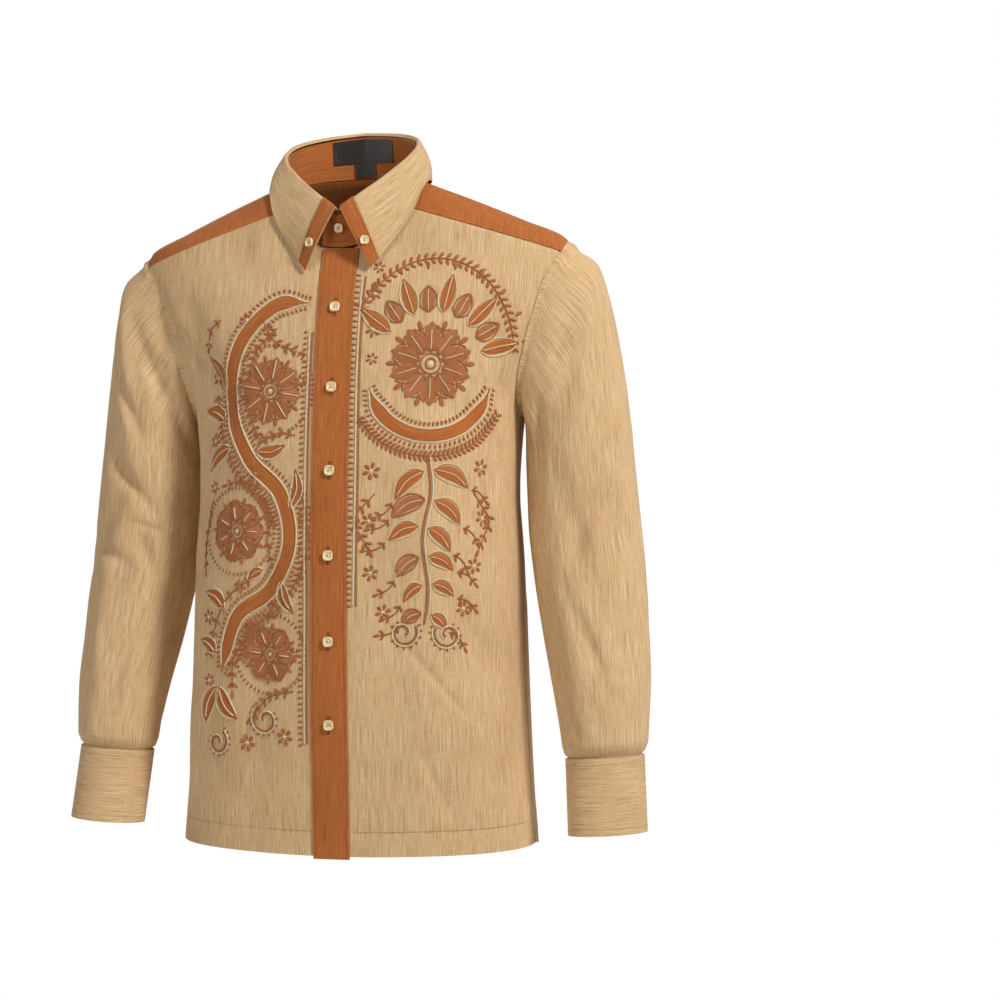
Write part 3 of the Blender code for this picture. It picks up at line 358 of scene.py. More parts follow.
# Largest folds in the body: each runs between two places, given as turn and height.
# Turn: 0 nape, 1 left side, 2 front, -1 right side, -2 front. A depth over 0 is a trough.
# Columns: turn and height of one end, turn and height of the other, half width, depth.
BODY_FOLDS = (
    (1.30, -0.105, 1.44, -0.245, 0.016, 0.0050),
    (-1.30, -0.105, -1.46, -0.255, 0.017, 0.0055),
    (1.20, -0.290, 1.62, -0.235, 0.015, 0.0035),
    (-1.20, -0.300, -1.58, -0.225, 0.015, 0.0035),
    (1.42, -0.470, 1.22, -0.560, 0.014, 0.0040),
    (1.78, -0.300, 1.66, -0.730, 0.026, 0.0035),
    (1.40, -0.560, 1.36, -0.735, 0.020, -0.0040),
    (-1.74, -0.330, -1.62, -0.735, 0.026, 0.0040),
    (-1.36, -0.400, -1.30, -0.735, 0.022, -0.0035),
    (-1.12, -0.430, -1.10, -0.700, 0.016, 0.0030),
    (1.10, -0.380, 1.06, -0.640, 0.016, 0.0030),
    (0.72, -0.180, 0.80, -0.320, 0.018, 0.0045),
    (-0.72, -0.180, -0.80, -0.330, 0.018, 0.0050),
    (0.55, -0.300, 0.62, -0.735, 0.028, 0.0045),
    (-0.52, -0.280, -0.60, -0.735, 0.030, 0.0050),
    (0.10, -0.330, 0.05, -0.735, 0.034, 0.0040),
    (0.46, -0.075, 0.44, -0.150, 0.012, 0.0030),
    (-0.46, -0.075, -0.44, -0.150, 0.012, 0.0030),
)

# Largest folds in a sleeve, for the wearer's left. Turn in degrees: 0 outer side, 90 front.
SLEEVE_FOLDS = (
    (50, -0.120, 100, -0.270, 0.017, 0.0060),
    (25, -0.180, 80, -0.350, 0.015, 0.0045),
    (70, -0.330, 20, -0.440, 0.016, 0.0050),
    (110, -0.300, 75, -0.480, 0.015, 0.0050),
    (30, -0.450, 65, -0.560, 0.014, 0.0040),
    (95, -0.500, 85, -0.620, 0.011, 0.0035),
    (-60, -0.140, -110, -0.280, 0.017, 0.0060),
    (-95, -0.260, -50, -0.400, 0.016, 0.0050),
    (-45, -0.400, -95, -0.520, 0.015, 0.0045),
    (-10, -0.260, -15, -0.480, 0.018, 0.0035),
    (-20, -0.560, -24, -0.632, 0.009, 0.0035),
    (35, -0.580, 33, -0.632, 0.009, 0.0030),
    (140, -0.430, 130, -0.600, 0.014, 0.0035),
    (-140, -0.420, -150, -0.600, 0.014, 0.0035),
)

# Creases too fine for the solids: half width, depth, and the turns and heights that each runs
# through.
BODY_CREASES = (
    (0.0035, 0.0029, (1.73, -0.492), (1.54, -0.549), (1.40, -0.591)),
    (0.0090, 0.0058, (-1.16, -0.105), (-1.22, -0.165), (-1.42, -0.215)),
    (0.0070, 0.0032, (1.36, -0.150), (1.20, -0.262)),
    (0.0070, 0.0035, (-1.36, -0.160), (-1.22, -0.268)),
    (0.0100, 0.0041, (1.24, -0.270), (1.30, -0.360), (1.26, -0.470)),
    (0.0110, 0.0043, (-1.22, -0.280), (-1.32, -0.370), (-1.30, -0.480)),
    (0.0060, 0.0026, (1.62, -0.620), (1.50, -0.690)),
    (0.0080, -0.0029, (-1.10, -0.520), (-1.16, -0.640)),
    (0.0060, 0.0046, (-0.87, -0.195), (-0.76, -0.240), (-0.71, -0.320)),
    (0.0060, 0.0041, (-0.93, -0.235), (-0.84, -0.300), (-0.83, -0.370)),
    (0.0060, 0.0043, (0.86, -0.200), (0.77, -0.250), (0.74, -0.330)),
    (0.0080, 0.0036, (0.94, -0.280), (0.88, -0.380), (0.90, -0.450)),
    (0.0100, 0.0032, (-0.34, -0.200), (-0.30, -0.330), (-0.36, -0.450)),
    (0.0120, -0.0036, (0.30, -0.240), (0.26, -0.420), (0.30, -0.560)),
)
# The sleeves' turns are in degrees, as in the table of folds; each sleeve has its own creases.
SLEEVE_CREASES_LEFT = (
    (0.008, 0.0072, (64, -0.132), (88, -0.170), (108, -0.210)),
    (0.006, 0.0051, (73, -0.141), (108, -0.180), (140, -0.216)),
    (0.008, 0.0090, (148, -0.225), (150, -0.279), (148, -0.320), (146, -0.375)),
    (0.006, 0.0075, (125, -0.246), (129, -0.277), (133, -0.359)),
    (0.012, 0.0075, (50, -0.300), (64, -0.348), (87, -0.386), (107, -0.440)),
    (0.010, -0.0045, (30, -0.380), (44, -0.450), (40, -0.520)),
    (0.009, 0.0051, (110, -0.450), (84, -0.520), (70, -0.570)),
    (0.006, 0.0036, (52, -0.590), (60, -0.640)),
    (0.006, 0.0039, (88, -0.600), (96, -0.650)),
    (0.006, 0.0033, (122, -0.590), (116, -0.645)),
    (0.008, 0.0067, (-50, -0.150), (-85, -0.220), (-110, -0.250)),
    (0.007, 0.0057, (-120, -0.230), (-100, -0.320), (-70, -0.370)),
    (0.010, 0.0054, (-30, -0.350), (-60, -0.430), (-90, -0.470)),
    (0.007, 0.0039, (-100, -0.540), (-84, -0.600)),
    (0.006, 0.0036, (-130, -0.580), (-122, -0.640)),
)
SLEEVE_CREASES_RIGHT = (
    (0.010, 0.0093, (63, -0.133), (93, -0.180), (133, -0.241), (161, -0.300)),
    (0.008, 0.0075, (36, -0.175), (63, -0.224), (94, -0.275)),
    (0.006, 0.0063, (111, -0.185), (139, -0.218), (176, -0.250)),
    (0.009, 0.0069, (46, -0.285), (86, -0.331), (112, -0.362)),
    (0.009, 0.0057, (26, -0.390), (60, -0.405), (92, -0.425)),
    (0.005, 0.0033, (94, -0.375), (132, -0.385)),
    (0.010, 0.0057, (93, -0.378), (110, -0.410), (128, -0.440)),
    (0.012, -0.0051, (70, -0.430), (64, -0.500), (72, -0.560)),
    (0.009, 0.0051, (120, -0.480), (100, -0.540), (104, -0.590)),
    (0.006, 0.0036, (48, -0.585), (58, -0.640)),
    (0.006, 0.0042, (80, -0.600), (92, -0.652)),
    (0.006, 0.0033, (128, -0.600), (122, -0.648)),
    (0.009, 0.0072, (-46, -0.140), (-80, -0.210), (-112, -0.260)),
    (0.007, 0.0054, (-118, -0.250), (-92, -0.330), (-64, -0.360)),
    (0.010, 0.0051, (-36, -0.400), (-70, -0.470), (-96, -0.500)),
    (0.007, 0.0042, (-88, -0.560), (-78, -0.620)),
)


def fold_lines(rows, surface):
    lines = []
    for turn_a, z_a, turn_b, z_b, half_width, depth in rows:
        share = np.linspace(0, 1, FOLD_SAMPLES)
        line = surface(turn_a + (turn_b - turn_a) * share, z_a + (z_b - z_a) * share)
        lines.append((line, half_width, depth))
    return lines


def crease_lines(rows, surface):
    lines = []
    for half_width, depth, *places in rows:
        knots = np.array(places)
        at = np.linspace(0, len(knots) - 1, FOLD_SAMPLES)
        turn, z = (np.interp(at, np.arange(len(knots)), knots[:, axis]) for axis in (0, 1))
        lines.append((surface(turn, z), half_width, depth))
    return lines


def fold_depth(points, lines):
    """Add up how far the folds move each point in, fading towards each fold's ends."""
    total = np.zeros(points.shape[:-1])
    for line, half_width, depth in lines:
        low = line.min(axis=0) - 3 * half_width
        high = line.max(axis=0) + 3 * half_width
        near = ((points > low) & (points < high)).all(axis=-1)
        if not near.any():
            continue
        here = points[near]
        share = np.zeros(len(here))
        distance = np.full(len(here), np.inf)
        for first in range(FOLD_SAMPLES - 1):
            start = line[first]
            along = line[first + 1] - start
            t = np.clip(((here - start) @ along) / (along @ along), 0, 1)
            gap = np.linalg.norm(here - start - t[:, None] * along, axis=-1)
            share = np.where(gap < distance, (first + t) / (FOLD_SAMPLES - 1), share)
            distance = np.minimum(gap, distance)
        fade = np.sin(pi * np.clip(share, FOLD_END_SHARE, 1 - FOLD_END_SHARE)) ** FOLD_FADE_POWER
        total[near] += depth * fade * np.exp(-((distance / half_width) ** 2))
    return total


BODY_LINES = fold_lines(BODY_FOLDS, form) + crease_lines(BODY_CREASES, form)


def body(turn, z):
    turn, z = np.broadcast_arrays(np.asarray(turn, dtype=float), np.asarray(z, dtype=float))
    plain = form(turn, z)
    return plain - form_normal(turn, z) * fold_depth(plain, BODY_LINES)[..., None]


print("folds and creases in the body:", len(BODY_LINES))

# %% [markdown]
# Every material starts from what the real one is. Colours are written as the sRGB hex values that
# a colour picker shows and turned to linear light by one function. One more function adds a node
# with its settings and links, so that a recipe reads from the cloth's pattern to its shine. The
# cloth's UV map is in metres along the weft and the warp, so every pattern below is in real
# millimetres.

# %% Colour and node helpers
MM = 0.001


def linear(hex_colour):
    channels = (int(hex_colour[place:place + 2], 16) / 255 for place in (1, 3, 5))
    curve = [c / 12.92 if c <= 0.04045 else ((c + 0.055) / 1.055) ** 2.4 for c in channels]
    return (*curve, 1.0)


def add_node(tree, kind, settings=(), **links):
    """Add a node: settings go to its own fields, links to its sockets by name or number."""
    node = tree.nodes.new("ShaderNode" + kind)
    for field, value in dict(settings).items():
        setattr(node, field, value)
    for socket, value in links.items():
        place = int(socket[1:]) if socket[1:].isdigit() else socket.replace("_", " ")
        if isinstance(value, bpy.types.NodeSocket):
            tree.links.new(value, node.inputs[place])
        else:
            node.inputs[place].default_value = value
    return node.outputs


def new_material(name):
    material = bpy.data.materials.new(name)
    material.use_nodes = True
    material.node_tree.nodes.clear()
    return material, material.node_tree


# %% [markdown]
# Linen is spun from flax, whose thick places, called slubs, show as fine streaks 18 to 45 mm long
# down the warp and shorter ones across it. Plain woven and left matt, it has no gloss, only a
# faint sheen where fibre ends stand up. Its threads are 0.5 mm apart, finer than a pixel here, so
# the weave is drawn at 1.1 mm to show at all. The streaks are noise stretched to the slubs' own
# width and length: a picture of cloth would blur up close and repeat, and noise does neither.

# %% Linen
WEAVE_PITCH = 1.1 * MM
# Each streak's width, its length along the warp, and the detail of its noise
STREAKS = {
    "slub": (0.42 * MM, 18 * MM, 2.0),
    "long_slub": (0.80 * MM, 45 * MM, 1.0),
    "weft": (14 * MM, 0.7 * MM, 1.0),
    "cloud": (80 * MM, 150 * MM, 2.0),
}
# Which streak, the noise where its tint starts, the noise where it is full, and the tint
TINTS = (
    ("slub", 0.52, 0.80, "light"), ("slub", 0.46, 0.20, "dark"),
    ("long_slub", 0.56, 0.78, "light"), ("long_slub", 0.42, 0.16, "dark"),
    ("weft", 0.58, 1.00, "light"), ("cloud", 0.52, 1.30, "dark"),
)
RAISED = (("slub", 1.0), ("long_slub", 0.6), ("weft", 0.5))


def linen(name, base, light, dark, slub_strength):
    material, tree = new_material(name)
    cloth = add_node(tree, "UVMap")[0]
    streak = {}
    for word, (across, along, detail) in STREAKS.items():
        sized = add_node(tree, "Mapping", Vector=cloth, Scale=(1 / across, 1 / along, 1))
        streak[word] = add_node(tree, "TexNoise", {"noise_dimensions": "2D"}, Vector=sized[0],
                                Scale=1.0, Detail=detail, Roughness=0.6)[0]
    colour = linear(base)
    tints = {"light": linear(light), "dark": linear(dark)}
    for word, none, full, tint in TINTS:
        share = add_node(tree, "MapRange", Value=streak[word], From_Min=none, From_Max=full)[0]
        colour = add_node(tree, "Mix", {"data_type": "RGBA"}, _0=share, _6=colour,
                          _7=tints[tint])[2]
    sized = add_node(tree, "Mapping", Vector=cloth, Scale=(1 / WEAVE_PITCH, 1 / WEAVE_PITCH, 1))
    height = add_node(tree, "TexChecker", Vector=sized[0], Scale=1.0, Color1=(0.25,) * 3 + (1,),
                      Color2=(0, 0, 0, 1))[0]
    for word, strength in RAISED:
        height = add_node(tree, "Math", {"operation": "MULTIPLY_ADD"}, _0=streak[word],
                          _1=strength * slub_strength, _2=height)[0]
    bump = add_node(tree, "Bump", Strength=0.5, Distance=0.5 * MM, Height=height)[0]
    shader = add_node(tree, "BsdfPrincipled", Base_Color=colour, Normal=bump, Roughness=0.9,
                      Specular_IOR_Level=0.2, Sheen_Weight=0.12, Sheen_Roughness=0.5)
    add_node(tree, "OutputMaterial", Surface=shader[0])
    return material


NATURAL_LINEN = linen("natural slub linen, woven", "#CCA777", "#DFC39C", "#A67D52", 0.7)
RUST_LINEN = linen("rust linen, piece-dyed", "#AC602B", "#BD763E", "#934E1F", 0.5)
print("materials:", NATURAL_LINEN.name, "/", RUST_LINEN.name)

# %% [markdown]
# Each piece of cloth is a grid of points on its outer side. The shell gets its inner side by
# moving the points in by the cloth's thickness, and rims join the two. Solidify could do that too,
# but the cloth is doubled along the hem, and here the thickness can change from point to point.

# %% The cloth shell
SHARP_EDGE = radians(50)


def grid_normals(grid, closed=False):
    if closed:
        across = np.roll(grid, -1, axis=1) - np.roll(grid, 1, axis=1)
    else:
        across = np.gradient(grid, axis=1)
    return unit(np.cross(across, np.gradient(grid, axis=0)))


def add_piece(name, points, faces, material, slot, uv=None, replaces=()):
    """Make a mesh piece that rides on the shirt; uv has a pair for each corner of each face."""
    mesh = bpy.data.meshes.new(name)
    mesh.from_pydata(np.asarray(points).tolist(), [], faces)
    if uv is not None:
        mesh.uv_layers.new(name="cloth").uv.foreach_set("vector", np.asarray(uv).ravel())
    mesh.materials.append(material)
    mesh.shade_smooth()
    mesh.set_sharp_from_angle(angle=SHARP_EDGE)
    piece = bpy.data.objects.new(name, mesh)
    bpy.context.scene.collection.objects.link(piece)
    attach(piece, "root")
    if replaces:
        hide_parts(*replaces)
    return piece


def cloth_size(grid, closed=False):
    """Measure a grid of cloth: its longest row, its longest column and its area."""
    if closed:
        grid = np.concatenate((grid, grid[:, :1]), axis=1)
    across, up = np.diff(grid, axis=1), np.diff(grid, axis=0)
    area = np.linalg.norm(np.cross(across[:-1], up[:, :-1]), axis=-1).sum()
    width = np.linalg.norm(across, axis=-1).sum(axis=1).max()
    return width, np.linalg.norm(up, axis=-1).sum(axis=0).max(), area


def cloth_shell(name, grid, uv, thick, material, slot, closed=False):
    """Stand in for a solid with a wall on a grid of outer points, uv in metres by weft and warp."""
    rows, columns = grid.shape[:2]
    thick = np.broadcast_to(thick, (rows, columns))
    inner = grid - grid_normals(grid, closed) * thick[..., None]
    number = np.arange(rows * columns).reshape(rows, columns)
    flat = np.arange(rows * uv.shape[1]).reshape(rows, uv.shape[1])
    if closed:
        number = np.concatenate((number, number[:, :1]), axis=1)
    corners = ((slice(0, -1), slice(0, -1)), (slice(0, -1), slice(1, None)),
               (slice(1, None), slice(1, None)), (slice(1, None), slice(0, -1)))
    outer_faces = np.stack([number[c] for c in corners], axis=-1).reshape(-1, 4)
    outer_flat = np.stack([flat[c] for c in corners], axis=-1).reshape(-1, 4)
    half = rows * columns
    faces = [outer_faces, outer_faces[:, ::-1] + half]
    places = [outer_flat, outer_flat[:, ::-1]]

    def rim(line, line_flat):
        faces.append(np.stack((line[1:], line[:-1], line[:-1] + half, line[1:] + half), axis=-1))
        places.append(np.stack((line_flat[1:], line_flat[:-1]) * 2, axis=-1)[:, [0, 1, 3, 2]])

    rim(number[0], flat[0])
    rim(number[-1][::-1], flat[-1][::-1])
    if not closed:
        rim(number[::-1, 0], flat[::-1, 0])
        rim(number[:, -1], flat[:, -1])
    faces, places = np.concatenate(faces), np.concatenate(places)
    points = np.concatenate((grid.reshape(-1, 3), inner.reshape(-1, 3)))
    corner_uv = uv.reshape(-1, 2)[places.ravel()]
    piece = add_piece(name, points, faces.tolist(), material, slot, corner_uv, (name,))
    width, length, area = cloth_size(grid, closed)
    print(name, "faces:", len(faces), "metres:", round(width, 3), round(length, 3), "area:",
          round(area, 4))
    return piece

# %% [markdown]
# The two fronts, the back and the yoke meet at the armholes and the yoke's seams. Each is laid out
# as a patch between four edges, in turns round the body and heights, and then placed on the form.
# The right front runs on under the band, as far as the buttons need.

# %% Layout of the body's pieces
LOOP_SEGMENTS = 120
YOKE_FRONT_STEP = 10
YOKE_BACK_STEP = -35
ARMHOLE_Z = -0.1635
ARMHOLE_HALF_HEIGHT = 0.0935
ARMHOLE_FRONT_REACH = 0.048
ARMHOLE_BACK_REACH = 0.066
SIDE_OF_NECK = 0.55
NECK_HALF_LENGTH = 0.21
YOKE_NECK_SHARE = 0.40
YOKE_CORNER_SHARE = 0.84
SIDE_ROWS = 150
FRONT_NECK_COLUMNS = 40
FRONT_YOKE_COLUMNS = 50
BACK_COLUMNS = 140


def armhole(step):
    """Give turn and height of a place on the left armhole, from 0 at its top to the underarm."""
    angle = 2 * pi * step / LOOP_SEGMENTS
    z = ARMHOLE_Z + ARMHOLE_HALF_HEIGHT * cos(angle)
    if step == 0 or abs(step) == LOOP_SEGMENTS // 2:
        return 1.0, z
    front = step > 0
    reach = ARMHOLE_FRONT_REACH if front else -ARMHOLE_BACK_REACH
    y = float(smooth(z, BODY["z"], BODY["y_side"])) - reach * sin(abs(angle))
    return turn_at(z, front, y=y), z


def neckline(share):
    """Give turn and height of a place on the left half of the neckline, front 0 to nape 1."""
    z = float(smooth(share, NECK["share"], NECK["neck_z"]))
    x = float(smooth(share, NECK["share"], NECK["neck_x"]))
    return turn_at(z, share <= SIDE_OF_NECK, x=x), z


def yoke_front_seam():
    start, end = neckline(YOKE_NECK_SHARE), armhole(YOKE_FRONT_STEP)
    start_x, end_x = form(*start)[0], form(*end)[0]
    share = np.linspace(0, 1, FRONT_YOKE_COLUMNS + 1)[1:-1]
    heights = start[1] + (end[1] - start[1]) * share
    across = start_x + (end_x - start_x) * share
    middle = [(turn_at(z, True, x=x), z) for z, x in zip(heights, across)]
    return np.array([start, *middle, end])


def hem_z(turn):
    away = np.abs(np.abs(turn) - 1)
    drop = np.where(np.abs(turn) > 1, HEM_FRONT_DROP, HEM_BACK_DROP)
    return HEM_SIDE_Z - drop * np.sin(away * pi / 2)


def patch(bottom, top, left, right):
    """Fill a patch from its four edges, each a list of turns and heights."""
    across = np.linspace(0, 1, len(bottom))[None, :, None]
    up = np.linspace(0, 1, len(left))[:, None, None]
    low = (1 - across) * bottom[0] + across * bottom[-1]
    high = (1 - across) * top[0] + across * top[-1]
    ruled_up = (1 - up) * (bottom[None] - low) + up * (top[None] - high)
    return ruled_up + (1 - across) * left[:, None] + across * right[:, None]


def side_and_armhole(steps):
    seam = [(1.0, z) for z in np.linspace(HEM_SIDE_Z, UNDERARM_Z, SIDE_ROWS + 1)]
    return np.array(seam + [armhole(step) for step in steps])


def front_layout(edge_reach):
    steps = range(LOOP_SEGMENTS // 2 - 1, YOKE_FRONT_STEP - 1, -1)
    right = side_and_armhole(steps)
    upper = np.linspace(UNDERARM_Z, FRONT_NECK_Z, len(steps) + 1)[1:]
    heights = np.concatenate((np.linspace(hem_z(2.0), UNDERARM_Z, SIDE_ROWS + 1), upper))
    left = np.stack((front_turn(heights, edge_reach), heights), axis=-1)
    edge_share = edge_reach / NECK_HALF_LENGTH
    shares = np.linspace(max(edge_share, 0), YOKE_NECK_SHARE, FRONT_NECK_COLUMNS + 1)
    neck = np.array([neckline(share) for share in shares])
    if edge_share > 0:
        left[-1] = neck[0]
    neck[0] = left[-1]
    top = np.concatenate((neck, yoke_front_seam()[1:]))
    turns = np.linspace(left[0][0], 1.0, len(top))
    return patch(np.stack((turns, hem_z(turns)), axis=-1), top, left, right)


def back_yoke_seam():
    turn, z = armhole(YOKE_BACK_STEP)
    turns = np.linspace(turn, -turn, BACK_COLUMNS + 1)
    return np.stack((turns, BACK_YOKE_Z + (z - BACK_YOKE_Z) * (turns / turn) ** 2), axis=-1)


def back_layout():
    left = side_and_armhole(range(-LOOP_SEGMENTS // 2 + 1, YOKE_BACK_STEP + 1))
    turns = np.linspace(1.0, -1.0, BACK_COLUMNS + 1)
    bottom = np.stack((turns, hem_z(turns)), axis=-1)
    return patch(bottom, back_yoke_seam(), left, left * (-1, 1))


def yoke_layout():
    seam = yoke_front_seam()
    arm = np.array([armhole(step) for step in range(YOKE_FRONT_STEP, YOKE_BACK_STEP - 1, -1)])
    outer = np.concatenate((arm, back_yoke_seam()[1:-1], (arm * (-1, 1))[::-1]))
    arm_share = np.linspace(YOKE_NECK_SHARE, YOKE_CORNER_SHARE, len(arm))
    back_share = np.linspace(YOKE_CORNER_SHARE, 2 - YOKE_CORNER_SHARE, BACK_COLUMNS + 1)[1:-1]
    inner = []
    for place in np.concatenate((arm_share, back_share, 2 - arm_share[::-1])):
        turn, z = neckline(min(place, 2 - place))
        inner.append((turn if place <= 1 else -turn, z))
    return patch(np.array(inner), outer, seam, seam * (-1, 1))


def open_vent(places, sign):
    below = np.clip((VENT_TOP_Z - places[..., 1]) / (VENT_TOP_Z - HEM_SIDE_Z), 0, 1)
    near = np.clip(1 - np.abs(np.abs(places[..., 0]) - 1) / VENT_REACH_TURN, 0, 1)
    moved = places.copy()
    moved[..., 0] += sign * VENT_SPREAD / HEM_QUARTER * ease(below) * near
    return moved


# %% [markdown]
# A seam pulls the cloth down a little where two pieces meet, and a hem is cloth doubled over and
# sewn 27 mm up. So each shell dips along its sewn edges and is twice as thick below its hem line.

# %% Fronts, back and yoke
SEAM_DIP = 0.0007
SHOULDER_BLEND = 0.15
PUCKER_DEPTH = 0.0006
PUCKER_TURNS = (61.0, 143.0)
# In hem depths: how far the ruffle reaches, and the stitched row's half width; then its dip
RUFFLE_REACH = 0.6
ROW_REACH = 0.12
ROW_DIP = 0.8


def cloth_uv(places):
    """Give metres out from the middle and up, so that the warp stays upright as it was cut."""
    turn, z = places[..., 0], places[..., 1]
    front = (2 - np.abs(turn)) * np.interp(z, FRONT_HEIGHTS, FRONT_LENGTHS)
    rear = np.abs(turn) * np.interp(z, FRONT_HEIGHTS, BACK_LENGTHS)
    return np.stack((np.sign(turn) * np.where(np.abs(turn) > 1, front, rear), z), axis=-1)


def yoke_uv(grid, places):
    """Lay the yoke's weave across the shoulders: back from the front seams, then down the back."""
    over = np.clip((np.abs(places[..., 0]) - 1) / SHOULDER_BLEND, -1, 1)
    return np.stack((grid[..., 0], grid[..., 1] + grid[..., 2] * over), axis=-1)


def dipped(grid, edges, closed=False):
    """Draw the sewn edges in: edges names rows and columns of the grid by their places."""
    normals = grid_normals(grid, closed)
    made = grid.copy()
    for rows, columns in edges:
        made[rows, columns] -= normals[rows, columns] * SEAM_DIP
    return made


def puckers(places):
    """Ruffle the cloth a little about the hem's row of stitches, and draw the row itself in."""
    turn, z = places[..., 0], places[..., 1]
    away = (z - hem_z(turn) - HEM_DEEP) / HEM_DEEP
    ruffle = sum(np.sin(turn * rate + 3 * np.sin(turn * 9)) for rate in PUCKER_TURNS) / 2
    rise = ruffle * np.exp(-(away / RUFFLE_REACH) ** 2)
    rise = rise - ROW_DIP * np.exp(-(away / ROW_REACH) ** 2)
    return form_normal(turn, z) * (PUCKER_DEPTH * rise)[..., None]


def outward(grid, uv, middle=(0.0, 0.0)):
    """Turn a grid over where its directions point in, towards the line it wraps."""
    away = grid - np.array([*middle, grid[..., 2].mean()])
    if np.median((away * grid_normals(grid)).sum(axis=-1)) < 0:
        return grid[:, ::-1], uv[:, ::-1]
    return grid, uv


def add_wall(name, grid, uv, thick, material, slot, middle=(0.0, 0.0)):
    grid, uv = outward(grid, uv, middle)
    return cloth_shell(name, grid, uv, thick, material, slot), grid


def add_body_piece(name, places, material, slot, side, hemmed):
    places = places * (side, 1)
    grid = body(places[..., 0], places[..., 1])
    uv = cloth_uv(places) if hemmed else yoke_uv(grid, places)
    all_rows = slice(None)
    edges = [(-1, all_rows), (all_rows, -1)]
    if not hemmed:
        edges += [(0, all_rows), (all_rows, 0)]
    grid = dipped(grid, edges)
    thick = np.full(grid.shape[:2], LINEN_THICK)
    if hemmed:
        grid = grid + puckers(places)
        thick = np.where(places[..., 1] < hem_z(places[..., 0]) + HEM_DEEP, 2 * thick, thick)
    made, made_uv = outward(grid, uv)
    if made is not grid:
        thick = thick[:, ::-1]
    return cloth_shell(name, made, made_uv, thick, material, slot)


half_band = BAND_WIDTH / 2
left_places = open_vent(front_layout(half_band - BAND_LAP), 1)
right_places = open_vent(front_layout(half_band - UNDER_LAP), 1)
back_places = back_layout()
back_places = open_vent(back_places, -np.sign(back_places[..., 0]))
front_left = add_body_piece("front_left", left_places, NATURAL_LINEN, "linen", 1, True)
front_right = add_body_piece("front_right", right_places, NATURAL_LINEN, "linen", -1, True)
back = add_body_piece("back", back_places, NATURAL_LINEN, "linen", 1, True)
yoke = add_body_piece("yoke", yoke_layout(), RUST_LINEN, "rust_linen", 1, False)

# %% [markdown]
# A sleeve is one tube from the armhole to the cuff. It starts on the armhole's own loop and eases
# into a table of ovals. The largest folds are the solid's, and a second table adds the creases
# that lie between them, where the elbow bends and where the cloth bunches above the cuff. The map
# of the cloth has its seam under the arm, as the sleeve has.

# %% Sleeves
SIDES = {"left": 1, "right": -1}
SLEEVE_ROWS = 150
# The right sleeve's folds lie this much further round, in degrees, so that the two differ
RIGHT_FOLD_SHIFT = 12
# On its outer side the head's blend is this share shorter
OUTER_BLEND_CUT = 0.75
CUFF_TOP = np.array((*CUFF_TOP_CENTRE, CUFF_TOP_Z))
CUFF_BOTTOM = np.array((*CUFF_BOTTOM_CENTRE, CUFF_BOTTOM_Z))
CUFF_AXIS = unit(CUFF_BOTTOM - CUFF_TOP)
CUFF_ACROSS = unit(np.array([1.0, 0, 0]) - CUFF_AXIS * CUFF_AXIS[0])
CUFF_DEEP = np.array([0.0, 1.0, 0.0])


def tube(angle, z):
    """Place points on the left sleeve's plain tube, from angle 0 at its outer side to the front."""
    sides = [smooth(z, TUBE["z"], TUBE[name]) for name in SLEEVE_COLUMNS[1:]]
    outer, inner, front, back_side = sides
    x = (outer + inner) / 2 + (outer - inner) / 2 * np.cos(angle)
    y = (front + back_side) / 2 - (back_side - front) / 2 * np.sin(angle)
    return np.stack(np.broadcast_arrays(x, y, z), axis=-1)


def sleeve_lines(side):
    shift = 0 if side > 0 else RIGHT_FOLD_SHIFT
    rows = [(a + shift, za, b - shift / 2, zb, w, d) for a, za, b, zb, w, d in SLEEVE_FOLDS]
    fine = SLEEVE_CREASES_LEFT if side > 0 else SLEEVE_CREASES_RIGHT

    def surface(turn, z):
        return tube(np.radians(turn), np.asarray(z))

    return fold_lines(rows, surface) + crease_lines(fine, surface)


def end_calm(share):
    return 1 - ease((share - SLEEVE_CALM_END) / (1 - SLEEVE_CALM_END))


def cuff_point(angle, share, out=0.0):
    """Place points of the left cuff: a turn, a share of its height and a distance out."""
    angle = np.asarray(angle)[..., None]
    centre = CUFF_TOP * (1 - share) + CUFF_BOTTOM * share
    across = CUFF_ACROSS * (CUFF_HALF_WIDTH + out) * np.cos(angle)
    return centre + across - CUFF_DEEP * (CUFF_HALF_DEPTH + out) * np.sin(angle)


def sleeve_grid(side):
    middle = LOOP_SEGMENTS // 2
    steps = np.arange(-middle + 1, middle + 1)
    places = np.array([armhole(int(step)) for step in steps])
    seam = body(places[:, 0] * side, places[:, 1]) * np.array([side, 1, 1])
    angle = 2 * pi * steps / LOOP_SEGMENTS
    slope = unit(seam[middle - 1] - seam[-1])
    first = seam + np.array([slope[2], 0, -slope[0]]) * ARMHOLE_STEP
    rings = [seam, (seam + first) / 2, first]
    end = SLEEVE_END_Z + CUFF_HALF_WIDTH * np.cos(angle) * CUFF_ACROSS[2]
    lines = sleeve_lines(side)
    reach = SLEEVE_BLEND * (1 - OUTER_BLEND_CUT * np.clip(np.cos(angle), 0, 1))
    for share in np.linspace(0, 1, SLEEVE_ROWS)[1:]:
        z = first[:, 2] * (1 - share) + end * share
        plain = tube(angle, z)
        weight = ease(share / reach)[:, None]
        carried = np.stack((first[:, 0], first[:, 1], z), axis=-1)
        carried[:, 0] += (plain[:, 0] - first[:, 0]) * ease(share / reach * SLEEVE_WIDEN_RATE)
        ring = carried * (1 - weight) + plain * weight
        away = (ring - ring.mean(axis=0)) * (1, 1, 0)
        depth = fold_depth(ring, lines) * ease(share / SLEEVE_CALM_TOP) * end_calm(share)
        rings.append(ring - unit(away) * depth[:, None])
    for share, out in CUFF_TUCK:
        rings.append(cuff_point(angle, share, out))
    return np.array(rings[::-1]), angle


